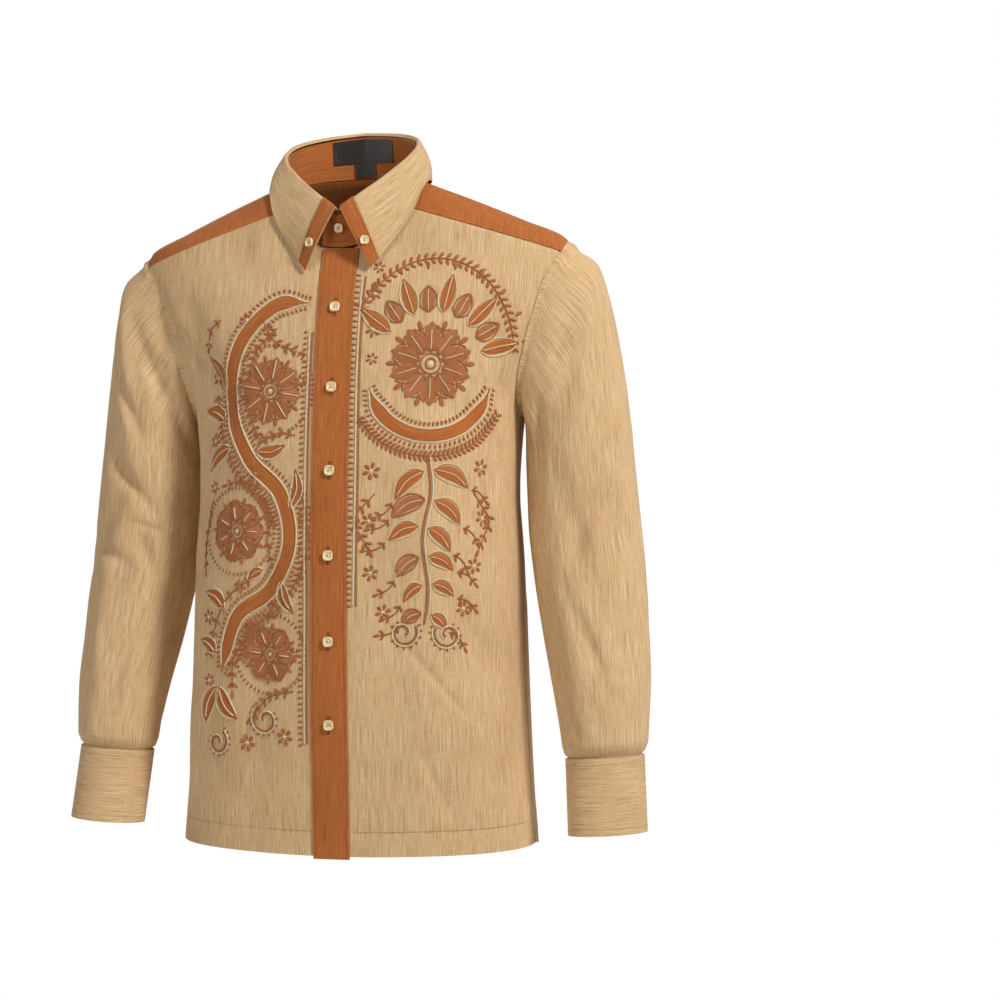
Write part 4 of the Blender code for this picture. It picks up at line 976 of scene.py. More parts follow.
def cross_uv(across, up):
    """Pair a value for each column with a value for each row."""
    return np.stack(np.broadcast_arrays(across[None, :], up[:, None]), axis=-1)


def add_sleeve(name, side):
    grid, angle = sleeve_grid(side)
    around = np.append(angle, angle[-1] + angle[1] - angle[0]) * SLEEVE_RADIUS
    uv = cross_uv(around, grid[..., 2].mean(axis=1))
    grid = dipped(grid, [(-1, slice(None))], closed=True)
    if side > 0:
        grid, uv = grid[:, ::-1], uv[:, ::-1]
    else:
        grid = mirrored(grid)
    return cloth_shell(name, grid, uv, LINEN_THICK, NATURAL_LINEN, "linen", closed=True)


sleeves = {label: add_sleeve(f"sleeve_{label}", side) for label, side in SIDES.items()}

# %% [markdown]
# The cuffs are cut with the grain running round the wrist, so their streaks lie across. Each wraps
# once and laps over itself at the back, where its two buttons are.

# %% Cuffs
CUFF_COLUMNS = 120
CUFF_ROWS = 28


def add_cuff(name, side):
    turns = np.linspace(0, 2 * pi + CUFF_LAP, CUFF_COLUMNS + 1)
    rise = ease((turns - 2 * pi + CUFF_RISE_START) / CUFF_RISE_LENGTH)
    out = ((CUFF_THICK + LIE_GAP) * rise)[:, None]
    shares = np.linspace(1, 0, CUFF_ROWS)
    grid = np.array([cuff_point(CUFF_START - CUFF_LAP + turns, share, out) for share in shares])
    tall = np.linalg.norm(CUFF_TOP - CUFF_BOTTOM)
    uv = cross_uv(turns * CUFF_HALF_WIDTH, -shares * tall)[..., ::-1]
    if side < 0:
        grid = mirrored(grid)
    middle = grid.mean(axis=(0, 1))[:2]
    return add_wall(name, grid, uv, CUFF_THICK, NATURAL_LINEN, "linen", middle)


cuffs, cuff_grids = {}, {}
for label, side in SIDES.items():
    cuffs[label], cuff_grids[label] = add_cuff(f"cuff_{label}", side)


SLIT_ROWS = 60
SLIT_COLUMNS = 13


def slit_band_grid(side):
    lines = sleeve_lines(side)
    heights = np.linspace(SLEEVE_END_Z + SLIT_END_RISE, SLIT_TOP_Z, SLIT_ROWS)[:, None]
    across = np.linspace(-0.5, 0.5, SLIT_COLUMNS)[None, :]
    angle = SLIT_TURN + SLIT_BAND_WIDTH * across / SLEEVE_RADIUS
    share = (heights - SLEEVE_HEAD_Z) / (SLEEVE_END_Z - SLEEVE_HEAD_Z)
    plain = tube(angle, heights)
    centre = tube(np.array([[0, pi]]), heights).mean(axis=1, keepdims=True)
    away = unit((plain - centre) * (1, 1, 0))
    depth = fold_depth(plain, lines) * end_calm(share)
    lift = LIE_GAP + TRIM_THICK + SLEEVE_CHORD_DIP
    return plain - away * (depth - lift)[..., None]


def add_slit_band(name, side):
    grid = slit_band_grid(side)
    wide = np.linspace(-0.5, 0.5, SLIT_COLUMNS) * SLIT_BAND_WIDTH
    uv = cross_uv(wide, grid[..., 2].mean(axis=1))
    middle = tube(np.array([0, pi]), np.full(2, SLIT_TOP_Z)).mean(axis=0)
    if side < 0:
        grid, middle = mirrored(grid), mirrored(middle)
    return add_wall(name, grid, uv, TRIM_THICK, NATURAL_LINEN, "linen", middle[:2])


slits, slit_grids = {}, {}
for label, side in SIDES.items():
    slits[label], slit_grids[label] = add_slit_band(f"sleeve_band_{label}", side)

# %% [markdown]
# The collar is a stand round the neck and a fall turned down over it. The table gives three lines
# round the neck, where the stand starts, the fold and the fall's outer edge, and the shells run
# through them. The stand is rust, and so is a strip down each front edge of the fall.

# %% Collar
FALL_COLUMNS = 160
FALL_ROWS = 44
ROLL_ROWS = 12
STAND_COLUMNS = 176
STAND_ROWS = 14
STRIP_COLUMNS = 10


def neck_column(share, *names):
    return np.array([float(smooth(share, NECK["share"], NECK[name])) for name in names])


def neck_place(share, up):
    """Place the stand's outer side at a share round the neck and a share of its height."""
    sign = 1.0
    if share < 0:
        share, sign = -share, -1.0
    elif share > 2:
        share = share - 2
    elif share > 1:
        share, sign = 2 - share, -1.0
    low = form(*neckline(share)) + np.array([0, 0, STAND_LIFT])
    high = neck_column(share, "fold_x", "fold_y", "fold_z")
    high[0] -= NECK["fold_x"][0] * max(1 - share / STAND_LAP_SHARE, 0)
    return (low * (1 - up) + high * up) * np.array([sign, 1, 1])


def stand_grid():
    over = STAND_THICK + STAND_LAP_GAP
    columns = []
    for share in np.linspace(-STAND_LAP_SHARE, 2 + STAND_LAP_SHARE, STAND_COLUMNS + 1):
        past = min(share, 2 - share)
        lift = over * float(1 - ease((share - STAND_LAP_SHARE) / STAND_LAP_EASE))
        corner = STAND_CORNER * float(ease(0.5 - past / (2 * STAND_LAP_SHARE)))
        top = STAND_TOP - corner - STAND_DIP * lift / over
        low, high = neck_place(share, 0), neck_place(share, top)
        up = np.linspace(0, 1, STAND_ROWS)[:, None]
        columns.append(low * (1 - up) + high * up + np.array([0, -lift, 0]))
    return np.array(columns).transpose(1, 0, 2)[:, ::-1]


def fall_keys(share):
    """List the fall's profile at a share round the neck, from its seat to its outer edge."""
    sign = 1.0
    if share > 1:
        share, sign = 2 - share, -1.0
    fold = neck_column(share, "fold_x", "fold_y", "fold_z")
    edge_x, edge_z = neck_column(share, "edge_x", "edge_z")
    turn = turn_at(edge_z, share <= SIDE_OF_NECK, x=edge_x)
    edge = form(turn, edge_z)
    edge = edge + form_normal(np.array(turn), np.array(edge_z)) * (EDGE_CLEARANCE + FALL_THICK)
    plan = np.array([fold[0], fold[1] - NECK_CENTRE_Y, 0])
    out = plan / np.linalg.norm(plan)
    seat = neck_place(share, STAND_TOP) + np.array([0, 0, FALL_SEAT + FALL_THICK])
    crest = fold + out * FOLD_REACH * 0.5 + np.array([0, 0, FOLD_RISE])
    turned = fold + out * FOLD_REACH + np.array([0, 0, FOLD_END_RISE])
    return np.array([seat, crest, turned, edge, out]) * np.array([sign, 1, 1])


def fall_profile(share, down):
    seat, crest, turned, edge, out = fall_keys(share)
    down = np.asarray(down, dtype=float)[..., None]
    first = down / FALL_TURNED
    roll = seat * (1 - first) ** 2 + (2 * crest - (seat + turned) / 2) * 2 * first * (1 - first)
    roll = roll + turned * first ** 2
    t = np.clip((down - FALL_TURNED) / (1 - FALL_TURNED), 0, 1)
    drop = turned * (1 - t) + edge * t + out * FALL_SWELL * np.sin(pi * t)
    return np.where(down < FALL_TURNED, roll, drop)


def fall_grid():
    downs = np.concatenate((np.linspace(0, FALL_TURNED, ROLL_ROWS)[:-1],
                            np.linspace(FALL_TURNED, 1, FALL_ROWS - ROLL_ROWS + 1)))
    shares = np.linspace(0, 2, FALL_COLUMNS + 1)
    return np.array([fall_profile(share, downs[::-1]) for share in shares]).transpose(1, 0, 2)


def grid_uv(grid, slant=0.0):
    """Measure a grid along its rows and columns, and turn the weave by a slant."""
    across = np.linalg.norm(np.diff(grid, axis=1), axis=-1).mean(axis=0)
    up = np.linalg.norm(np.diff(grid, axis=0), axis=-1).mean(axis=1)
    u = np.concatenate(([0], np.cumsum(across)))[None, :]
    v = np.concatenate(([0], np.cumsum(up)))[:, None]
    u, v = np.broadcast_arrays(u - u.mean(), v)
    return np.stack((u * cos(slant) - v * sin(slant), u * sin(slant) + v * cos(slant)), axis=-1)


NECK_CENTRE = (0, NECK_CENTRE_Y)
stand = stand_grid()
collar_stand, stand = add_wall("collar_stand", stand, grid_uv(stand, radians(90)), STAND_THICK,
                               RUST_LINEN, "rust_linen", NECK_CENTRE)
fall = fall_grid()
collar_fall, fall = add_wall("collar_fall", fall, grid_uv(fall, radians(90)), FALL_THICK,
                             NATURAL_LINEN, "linen", NECK_CENTRE)


def edge_strip_grid(side):
    downs = np.linspace(*STRIP_DOWNS, FALL_ROWS)[::-1]
    shares = np.linspace(0, EDGE_STRIP / (FALL_HALF_LENGTH + FALL_FLARE), STRIP_COLUMNS)
    grid = np.array([fall_profile(share, downs) for share in shares]).transpose(1, 0, 2)
    grid = grid + grid_normals(grid) * (LIE_GAP + TRIM_THICK)
    return grid if side > 0 else mirrored(grid)[:, ::-1]


def add_edge_strip(name, side):
    grid = edge_strip_grid(side)
    return cloth_shell(name, grid, grid_uv(grid), TRIM_THICK, RUST_LINEN, "rust_linen"), grid


strips, strip_grids = {}, {}
for label, side in SIDES.items():
    strips[label], strip_grids[label] = add_edge_strip(f"collar_edge_{label}", side)

# %% [markdown]
# The button band is a folded strip sewn down both its edges. It lies on the wearer's left front, a
# thread's height off the cloth, and carries the buttonholes.

# %% Button band
BAND_ROWS = 260
BAND_COLUMNS = 16
BAND_TOP_GAP = 0.5 * MM


def band_place(reach, z):
    turn = front_turn(z, reach)
    return body(turn, z) + form_normal(turn, z) * (LIE_GAP + LINEN_THICK)


def band_line(reach, z):
    """Give points and normals along the band, by distance from its middle and height."""
    reach, z = np.broadcast_arrays(np.asarray(reach, dtype=float), z)
    return band_place(reach, z), form_normal(front_turn(z, reach), z)


def band_grid():
    low = float(hem_z(2.0)) - BAND_DROP
    heights = np.linspace(low, FRONT_NECK_Z - BAND_TOP_GAP, BAND_ROWS)[:, None]
    reaches = np.linspace(-half_band, half_band, BAND_COLUMNS)[None, :]
    return band_place(*np.broadcast_arrays(reaches, heights))


band = band_grid()
button_band, _ = add_wall("button_band", band, grid_uv(band), LINEN_THICK, RUST_LINEN,
                          "rust_linen")

# %% [markdown]
# Sewing holds a shirt together, and its dashes are what make the edges look sewn. Each stitch is a
# little arched thread, 2.4 mm long with a 0.7 mm gap. Real thread is 0.3 mm thick, which would
# vanish at this size, so it is drawn 0.7 mm wide. A dashed texture would stay flat in side light.

# %% Sewing thread
STITCH_LENGTH = 2.4 * MM
STITCH_PITCH = 3.1 * MM
STITCH_WIDTH = 0.7 * MM
STITCH_HEIGHT = 0.35 * MM
STITCH_SEAT = 0.05 * MM
STITCH_END_WIDTH = 0.55
TWIST_PITCH = 0.8 * MM


def sewing_thread(name, base, dark):
    material, tree = new_material(name)
    along = add_node(tree, "UVMap")[0]
    sized = add_node(tree, "Mapping", Vector=along, Rotation=(0, 0, radians(50)),
                     Scale=(1 / TWIST_PITCH, 1 / TWIST_PITCH, 1))
    twist = add_node(tree, "TexWave", {"wave_type": "BANDS"}, Vector=sized[0], Scale=0.5)[1]
    # Painted shade and highlight: dark colour in the twist's grooves, base colour on its crests
    colour = add_node(tree, "Mix", {"data_type": "RGBA"}, _0=twist, _6=linear(dark),
                      _7=linear(base))[2]
    bump = add_node(tree, "Bump", Strength=0.5, Distance=0.1 * MM, Height=twist)[0]
    shader = add_node(tree, "BsdfPrincipled", Base_Color=colour, Normal=bump, Roughness=0.55,
                      Specular_IOR_Level=0.4)
    add_node(tree, "OutputMaterial", Surface=shader[0])
    return material


# Each thread's second colour is the painted shade in its twist's grooves
BEIGE_THREAD = sewing_thread("beige polyester thread, sewn", "#BE9564", "#83603A")
RUST_THREAD = sewing_thread("rust polyester thread, sewn", "#8E4A24", "#5A2A10")
print("threads:", BEIGE_THREAD.name, "/", RUST_THREAD.name)

# %% Rows of stitches
STATION_RISE = np.array([0.0, 1.0, 0.0])


def grid_line(grid, rows, columns):
    """Read points and normals off a grid along a line of row and column numbers."""
    rows, columns = np.broadcast_arrays(np.asarray(rows, dtype=float), columns)
    low = np.clip(rows.astype(int), 0, grid.shape[0] - 2)
    left = np.clip(columns.astype(int), 0, grid.shape[1] - 2)
    up, across = (rows - low)[:, None], (columns - left)[:, None]
    read = []
    for values in (grid, grid_normals(grid)):
        lower = values[low, left] * (1 - across) + values[low, left + 1] * across
        upper = values[low + 1, left] * (1 - across) + values[low + 1, left + 1] * across
        read.append(lower * (1 - up) + upper * up)
    return read[0], unit(read[1])


def body_line(turns, heights):
    turns, heights = np.broadcast_arrays(np.asarray(turns, dtype=float), heights)
    return body(turns, heights), form_normal(turns, heights)


def spaced(points, normals, step, first=0.0):
    """Walk along a line and read its place and normal at every step."""
    length = np.concatenate(([0], np.cumsum(np.linalg.norm(np.diff(points, axis=0), axis=1))))
    at = np.arange(first, length[-1], step)
    read = [np.stack([np.interp(at, length, values[:, axis]) for axis in range(3)], axis=-1)
            for values in (points, normals)]
    return read[0], unit(read[1])


def add_stitches(name, lines, material, slot, width=STITCH_WIDTH, pitch=STITCH_PITCH,
                 length=STITCH_LENGTH):
    """Sew along each line of points and normals, all in one piece."""
    points, faces, places = [], [], []
    across = np.array([0.5, 0.0, -0.5])
    for line_points, line_normals in lines:
        starts, normals = spaced(line_points, line_normals, pitch)
        ends, _ = spaced(line_points, line_normals, pitch, length)
        count = min(len(starts), len(ends))
        starts, ends, normals = starts[:count], ends[:count], normals[:count]
        along = ends - starts
        side = unit(np.cross(normals, along))
        share = np.array([0.0, 0.5, 1.0])[None, :, None, None]
        rise = STITCH_HEIGHT * STATION_RISE[None, :, None, None] * np.array([0, 1, 0])[:, None]
        wide = width * (STITCH_END_WIDTH + (1 - STITCH_END_WIDTH) * STATION_RISE)
        wide = wide[None, :, None, None] * across[:, None]
        made = (starts[:, None, None] + along[:, None, None] * share
                + side[:, None, None] * wide + normals[:, None, None] * (rise + STITCH_SEAT))
        number = np.arange(count * 9).reshape(count, 3, 3) + 9 * sum(len(p) for p in points)
        quads = np.stack((number[:, :-1, :-1], number[:, 1:, :-1], number[:, 1:, 1:],
                          number[:, :-1, 1:]), axis=-1)
        flat = np.stack(np.broadcast_arrays(across * width * 2,
                                            np.array([0, 0.5, 1])[:, None] * length), axis=-1)
        points.append(made.reshape(count, 27))
        faces.append(quads.reshape(-1, 4))
        places.append(np.broadcast_to(flat, (count, 3, 3, 2)).reshape(-1, 2))
    faces, places = np.concatenate(faces), np.concatenate(places)
    points = np.concatenate(points).reshape(-1, 3)
    piece = add_piece(name, points, faces.tolist(), material, slot, places[faces.ravel()])
    print(name, "stitches:", len(points) // 9)
    return piece


# %% [markdown]
# The hem is turned up and sewn 27 mm from its edge, and the same row closes the side vents. The
# yoke is sewn down along its seams, the band along both its edges, and the collar and cuffs 5 mm
# inside their edges, which keeps the turned layers flat.

# %% Sewing the body
YOKE_ROW = 0.0028
BAND_ROW = 0.0030
SEAM_STOP = 0.02
BAND_STOP = 0.01
VENT_ROW = 0.035
VENT_STOP = 0.004
BAND_TOP_STOP = 0.006
# Points read along one side of the front hem, the back hem, a vent and the band
SIDE_POINTS, BACK_POINTS, VENT_POINTS, BAND_POINTS = 160, 260, 40, 300


def hem_rows():
    rows = []
    edge = front_turn(np.array(float(hem_z(2.0))), half_band)
    left = np.linspace(1 + SEAM_STOP, float(edge) - BAND_STOP, SIDE_POINTS)
    for turns in (left, -left, np.linspace(1 - SEAM_STOP, SEAM_STOP - 1, BACK_POINTS)):
        rows.append(body_line(turns, hem_z(turns) + HEM_DEEP))
    for away in (1 + VENT_ROW, 1 - VENT_ROW, -1 - VENT_ROW, VENT_ROW - 1):
        heights = np.linspace(float(hem_z(away)), VENT_TOP_Z, VENT_POINTS) + VENT_STOP
        opens = np.sign(away) * np.sign(abs(away) - 1)
        places = open_vent(np.stack((np.full(VENT_POINTS, away), heights), axis=-1), opens)
        rows.append(body_line(places[:, 0], places[:, 1]))
    return rows


def yoke_rows():
    front, rear = yoke_front_seam(), back_yoke_seam()
    rows = [body_line(front[:, 0] * side, front[:, 1] + YOKE_ROW) for side in (1, -1)]
    rows.append(body_line(rear[:, 0], rear[:, 1] + YOKE_ROW))
    return rows


def band_rows():
    heights = np.linspace(float(hem_z(2.0)), FRONT_NECK_Z - BAND_TOP_STOP, BAND_POINTS)
    return [band_line(reach, heights) for reach in (half_band - BAND_ROW, BAND_ROW - half_band)]


add_stitches("hem_sewing", hem_rows(), BEIGE_THREAD, "linen")
add_stitches("yoke_sewing", yoke_rows(), RUST_THREAD, "rust_linen")
add_stitches("band_sewing", band_rows(), RUST_THREAD, "rust_linen")


RING_POINTS = 400
COLUMN_POINTS = 120


def ring_rows(grid, rows, first=0.0, last=1.0):
    """Sew along rows of a grid, from one share of its columns to another."""
    columns = np.linspace(first, last, RING_POINTS) * (grid.shape[1] - 1)
    return [grid_line(grid, np.full(RING_POINTS, row * (grid.shape[0] - 1)), columns)
            for row in rows]


def column_rows(grid, columns, first=0.0, last=1.0):
    rows = np.linspace(first, last, COLUMN_POINTS) * (grid.shape[0] - 1)
    return [grid_line(grid, rows, np.full(COLUMN_POINTS, column * (grid.shape[1] - 1)))
            for column in columns]


# A row lies this share of the piece in from its edge, and a stop is where it ends before a corner
COLLAR_ROW, COLLAR_STOP = 0.045, 0.05
STAND_ROW, STAND_STOP = 0.14, 0.01
STRIP_ROW, STRIP_STOP = 0.14, 0.02
CUFF_ROW, CUFF_STOP = 0.085, 0.012
SLIT_ROW, SLIT_STOP = 0.10, 0.03
SLIT_BOX = 0.80

collar_lines = ring_rows(fall, (COLLAR_ROW,), COLLAR_STOP, 1 - COLLAR_STOP)
add_stitches("collar_sewing", collar_lines, BEIGE_THREAD, "linen")
trim_lines = ring_rows(stand, (STAND_ROW,), STAND_STOP, 1 - STAND_STOP)
for strip in strip_grids.values():
    trim_lines += column_rows(strip, (STRIP_ROW, 1 - STRIP_ROW), STRIP_STOP, 1 - STRIP_STOP)
add_stitches("collar_trim_sewing", trim_lines, RUST_THREAD, "rust_linen")
wrist_lines = []
for wrist in cuff_grids.values():
    wrist_lines += ring_rows(wrist, (CUFF_ROW, 1 - CUFF_ROW))
    wrist_lines += column_rows(wrist, (CUFF_STOP, 1 - CUFF_STOP), CUFF_ROW, 1 - CUFF_ROW)
for slit in slit_grids.values():
    wrist_lines += column_rows(slit, (SLIT_ROW, 1 - SLIT_ROW), 0.0, 1 - SLIT_STOP)
    wrist_lines += ring_rows(slit, (SLIT_BOX, 1 - SLIT_STOP), SLIT_ROW, 1 - SLIT_ROW)
add_stitches("wrist_sewing", wrist_lines, BEIGE_THREAD, "linen")

# %% [markdown]
# The buttons on the front are cast resin, cream and gold like horn, with four soft lobes, a raised
# ring and four holes. Those at the wrists are round and amber. A casting has shallow round edges,
# so each button is one grid of rings, pressed down where the holes are, and not a disc with a
# texture. Resin has an IOR of about 1.5 and a polished coat, which gives the small bright glint.

# %% Buttons
BUTTON_RINGS = 20
BUTTON_SPOKES = 72
BUTTON_THICK = 0.0026
BUTTON_LIFT = 0.0005
FRONT_SIZE = 0.0120
SMALL_SIZE = 0.0105
FRONT_BUTTONS = (-0.142, -0.230, -0.321, -0.413, -0.506, -0.596)
STAND_BUTTON_UP = 0.52
LOBE_DEPTH = 0.055
HOLE_PLACE = 0.19
HOLE_RADIUS = 0.085
# Of the button's thickness: how deep its holes are pressed, and where its thread crosses them
HOLE_DEPTH = 0.4
THREAD_LEVEL = 0.75
GRAIN_SIZE = 2.2 * MM
# Share of the radius, share of the thickness: a flat back, a round edge, a ring and a dish
BUTTON_PROFILE = ((0.0, 0.0), (0.90, 0.0), (1.0, 0.20), (1.0, 0.62), (0.95, 0.88), (0.86, 1.0),
                  (0.76, 0.96), (0.66, 0.74), (0.52, 0.68), (0.0, 0.70))


def resin(name, base, light, dark):
    material, tree = new_material(name)
    place = add_node(tree, "TexCoord")[3]
    grain = add_node(tree, "TexNoise", Vector=place, Scale=1 / GRAIN_SIZE, Detail=3.0,
                     Distortion=1.2)[0]
    pale = add_node(tree, "MapRange", Value=grain, From_Min=0.48, From_Max=0.70)[0]
    deep = add_node(tree, "MapRange", Value=grain, From_Min=0.46, From_Max=0.28)[0]
    colour = add_node(tree, "Mix", {"data_type": "RGBA"}, _0=pale, _6=linear(base),
                      _7=linear(light))[2]
    colour = add_node(tree, "Mix", {"data_type": "RGBA"}, _0=deep, _6=colour,
                      _7=linear(dark))[2]
    scratches = add_node(tree, "Bump", Strength=0.15, Distance=0.05 * MM, Height=grain)[0]
    shader = add_node(tree, "BsdfPrincipled", Base_Color=colour, Normal=scratches, Roughness=0.32,
                      IOR=1.5, Coat_Weight=0.4, Coat_Roughness=0.12)
    add_node(tree, "OutputMaterial", Surface=shader[0])
    return material


CREAM_RESIN = resin("cream horn-like resin, cast", "#E4CB98", "#F6E8C4", "#B48E52")
AMBER_RESIN = resin("amber resin, cast", "#B07A42", "#D9A766", "#744318")


def button_points(size, lobed):
    """Cast a button at the origin, facing up; the holes are pressed into its dish."""
    angle = np.linspace(0, 2 * pi, BUTTON_SPOKES, endpoint=False)
    outline = 1 + LOBE_DEPTH * np.cos(4 * (angle - pi / 4)) if lobed else np.ones(BUTTON_SPOKES)
    keys = np.array(BUTTON_PROFILE)
    at = np.linspace(0, len(keys) - 1, BUTTON_RINGS)
    reach, rise = (np.interp(at, np.arange(len(keys)), keys[:, axis]) for axis in (0, 1))
    inner = np.clip(reach / 0.8, 0, 1)[:, None]
    radius = reach[:, None] * (1 + (outline - 1) * inner) * size / 2
    x, y = radius * np.cos(angle), radius * np.sin(angle)
    z = np.broadcast_to(rise[:, None] * BUTTON_THICK, x.shape).copy()
    for across in (-1, 1):
        for up in (-1, 1):
            hole = np.hypot(x - across * HOLE_PLACE * size / 2, y - up * HOLE_PLACE * size / 2)
            z -= np.where(rise[:, None] > 0.5, 1, 0) * HOLE_DEPTH * BUTTON_THICK * ease(
                1.6 - hole / (HOLE_RADIUS * size))
    return np.stack((x, y, z), axis=-1)


def turned_to(normal, upward=(0.0, 0.0, 1.0)):
    across = unit(np.cross(np.array(upward), normal))
    return np.stack((across, np.cross(normal, across), normal))


def add_button(node, centre, normal, size, lobed, material, slot):
    points = button_points(size, lobed)
    rings, spokes = points.shape[:2]
    number = np.arange(rings * spokes).reshape(rings, spokes)
    ahead = np.roll(number, -1, axis=1)
    faces = np.stack((number[:-1], ahead[:-1], ahead[1:], number[1:]), -1).reshape(-1, 4)
    normal = unit(np.asarray(normal, dtype=float))
    placed = points.reshape(-1, 3) @ turned_to(normal) + centre + normal * LIE_GAP
    add_piece(f"{node}_cast", placed, faces.tolist(), material, slot, replaces=(node,))
    top = BUTTON_THICK * THREAD_LEVEL
    cross = np.array([[-1, -1, top], [1, 1, top], [-1, 1, top], [1, -1, top]], dtype=float)
    cross[:, :2] *= HOLE_PLACE * size / 2
    share = np.linspace(0, 1, 9)[:, None]
    for first, last in ((0, 1), (2, 3)):
        line = cross[first] * (1 - share) + cross[last] * share
        line = line @ turned_to(normal) + centre + normal * LIE_GAP
        button_threads.append((line, np.broadcast_to(normal, line.shape)))


button_threads = []
for number, z in enumerate(FRONT_BUTTONS, start=1):
    points, normals = body_line([2.0], z)
    centre = points[0] + normals[0] * (LIE_GAP + LINEN_THICK + BUTTON_LIFT)
    add_button(f"button_front_{number}", centre, normals[0], FRONT_SIZE, True, CREAM_RESIN,
               "button")
slope = unit(neck_place(0.0, 1.0) - neck_place(0.0, 0.0))
centre = neck_place(0.0, STAND_BUTTON_UP) + np.array([0, -(STAND_THICK + STAND_LAP_GAP), 0])
add_button("button_stand", centre, np.cross((1.0, 0, 0), slope), SMALL_SIZE, True,
           CREAM_RESIN, "button")


def seat_button(node, grid, lobed, material, slot):
    """Seat a small button on the cloth under its solid, facing as that cloth does."""
    low, high = (np.array(corner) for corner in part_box(node))
    points, normals = grid.reshape(-1, 3), grid_normals(grid).reshape(-1, 3)
    nearest = np.argmin(np.linalg.norm(points - (low + high) / 2, axis=1))
    centre = (low + high) / 2 - normals[nearest] * (BUTTON_THICK / 2 + LIE_GAP)
    add_button(node, centre, normals[nearest], SMALL_SIZE, lobed, material, slot)


for label in SIDES:
    seat_button(f"button_collar_{label}", strip_grids[label], True, CREAM_RESIN, "button")
    for node in (f"button_cuff_{label}_1", f"button_cuff_{label}_2"):
        seat_button(node, cuff_grids[label], False, AMBER_RESIN, "cuff_button")
    seat_button(f"button_slit_{label}", slit_grids[label], False, AMBER_RESIN, "cuff_button")
add_stitches("button_threads", button_threads, BEIGE_THREAD, "linen", 0.9 * MM, 2.6 * MM, 2.4 * MM)
print("buttons: 15")

# %% [markdown]
# A buttonhole is a slit bound with dense zigzag stitches, 15 mm long and upright on the band. Only
# its two ends show past each button, as a bar above and one below.

# %% Buttonholes
HOLE_HALF = 0.0095
HOLE_EDGE = 0.0011
HOLE_BAR = 2.2 * MM


def buttonhole_rows():
    rows = []
    for z in FRONT_BUTTONS:
        heights = np.linspace(z - HOLE_HALF, z + HOLE_HALF, 30)
        rows += [band_line(reach, heights) for reach in (-HOLE_EDGE, HOLE_EDGE)]
        bar = np.linspace(-HOLE_BAR, HOLE_BAR, 8)
        rows += [band_line(bar, end) for end in (heights[0], heights[-1])]
    return rows


buttonholes = add_stitches("buttonholes", buttonhole_rows(), RUST_THREAD, "rust_linen", 1.5 * MM,
                           0.8 * MM, 0.7 * MM)

# %% [markdown]
# The neck label is a black satin ribbon, folded under and sewn at its ends, with a narrower tab
# below it. Both are left bare. Satin floats its threads over several others, so it has long soft
# gloss across the ribbon. The wave bands give it as bumps and as painted sheen: lighter diagonal
# bands painted into the black colour.

# %% Label and tab
# Node, width, and the two shares of the stand's height that it lies between
LABELS = (("neck_label", 0.064, 0.36, 0.91), ("size_tab", 0.022, 0.02, 0.34))
LABEL_ROW = 0.04
SATIN_PITCH = 0.9 * MM
RIBBON_ROWS = 13
RIBBON_COLUMNS = 33

BLACK_SATIN, tree = new_material("black polyester satin, woven")
ribbon = add_node(tree, "UVMap")[0]
sized = add_node(tree, "Mapping", Vector=ribbon, Scale=(1 / SATIN_PITCH, 1 / SATIN_PITCH, 1))
weave = add_node(tree, "TexWave", {"wave_type": "BANDS", "bands_direction": "DIAGONAL"},
                 Vector=sized[0], Scale=0.5, Distortion=0.4)[1]
# Painted sheen: the wave bands mix the black towards a lighter grey where the bump is raised
colour = add_node(tree, "Mix", {"data_type": "RGBA"}, _0=weave, _6=linear("#191513"),
                  _7=linear("#332C29"))[2]
bump = add_node(tree, "Bump", Strength=0.4, Distance=0.1 * MM, Height=weave)[0]
shader = add_node(tree, "BsdfPrincipled", Base_Color=colour, Normal=bump, Roughness=0.42,
                  Sheen_Weight=0.2)
add_node(tree, "OutputMaterial", Surface=shader[0])


def ribbon_grid(width, low, high):
    """Lay a ribbon on the stand's inner face at the nape, turned towards the wearer."""
    shares = 1 + np.linspace(-0.5, 0.5, RIBBON_COLUMNS) * width / NECK_HALF_LENGTH
    grid = []
    for up in np.linspace(low, high, RIBBON_ROWS):
        line = []
        for share in shares:
            point = neck_place(share, up)
            inward = np.array([-point[0], NECK_CENTRE_Y - point[1], 0])
            line.append(point + unit(inward) * (STAND_THICK + LIE_GAP + TRIM_THICK))
        grid.append(line)
    return np.array(grid)


ribbons = {}
for node, width, low, high in LABELS:
    grid = ribbon_grid(width, low, high)
    inward = np.array([0.0, NECK_CENTRE_Y, 0]) - grid.mean(axis=(0, 1))
    if (grid_normals(grid).mean(axis=(0, 1)) * inward)[:2].sum() < 0:
        grid = grid[:, ::-1]
    ribbons[node] = cloth_shell(node, grid, grid_uv(grid), TRIM_THICK, BLACK_SATIN, "label")
    label_rows = column_rows(grid, (LABEL_ROW, 1 - LABEL_ROW), LABEL_ROW, 1 - LABEL_ROW)
    add_stitches(f"{node}_sewing", label_rows, RUST_THREAD, "rust_linen")

# %% [markdown]
# Both fronts are embroidered: rust linen appliqué edged with cream couched cord, and copper rayon
# thread in chain stitch, satin stitch and little loops. The pattern is a plain vine of leaves and
# rosettes, drawn here for this shirt. Texture alone would look printed, because real thread stands
# a millimetre proud, so each kind of stitch is a small raised form. Every point is drawn flat, as
# metres out from the middle of the front and a height, and then laid on the cloth.

# %% Threads
THREAD_PITCH = 0.8 * MM


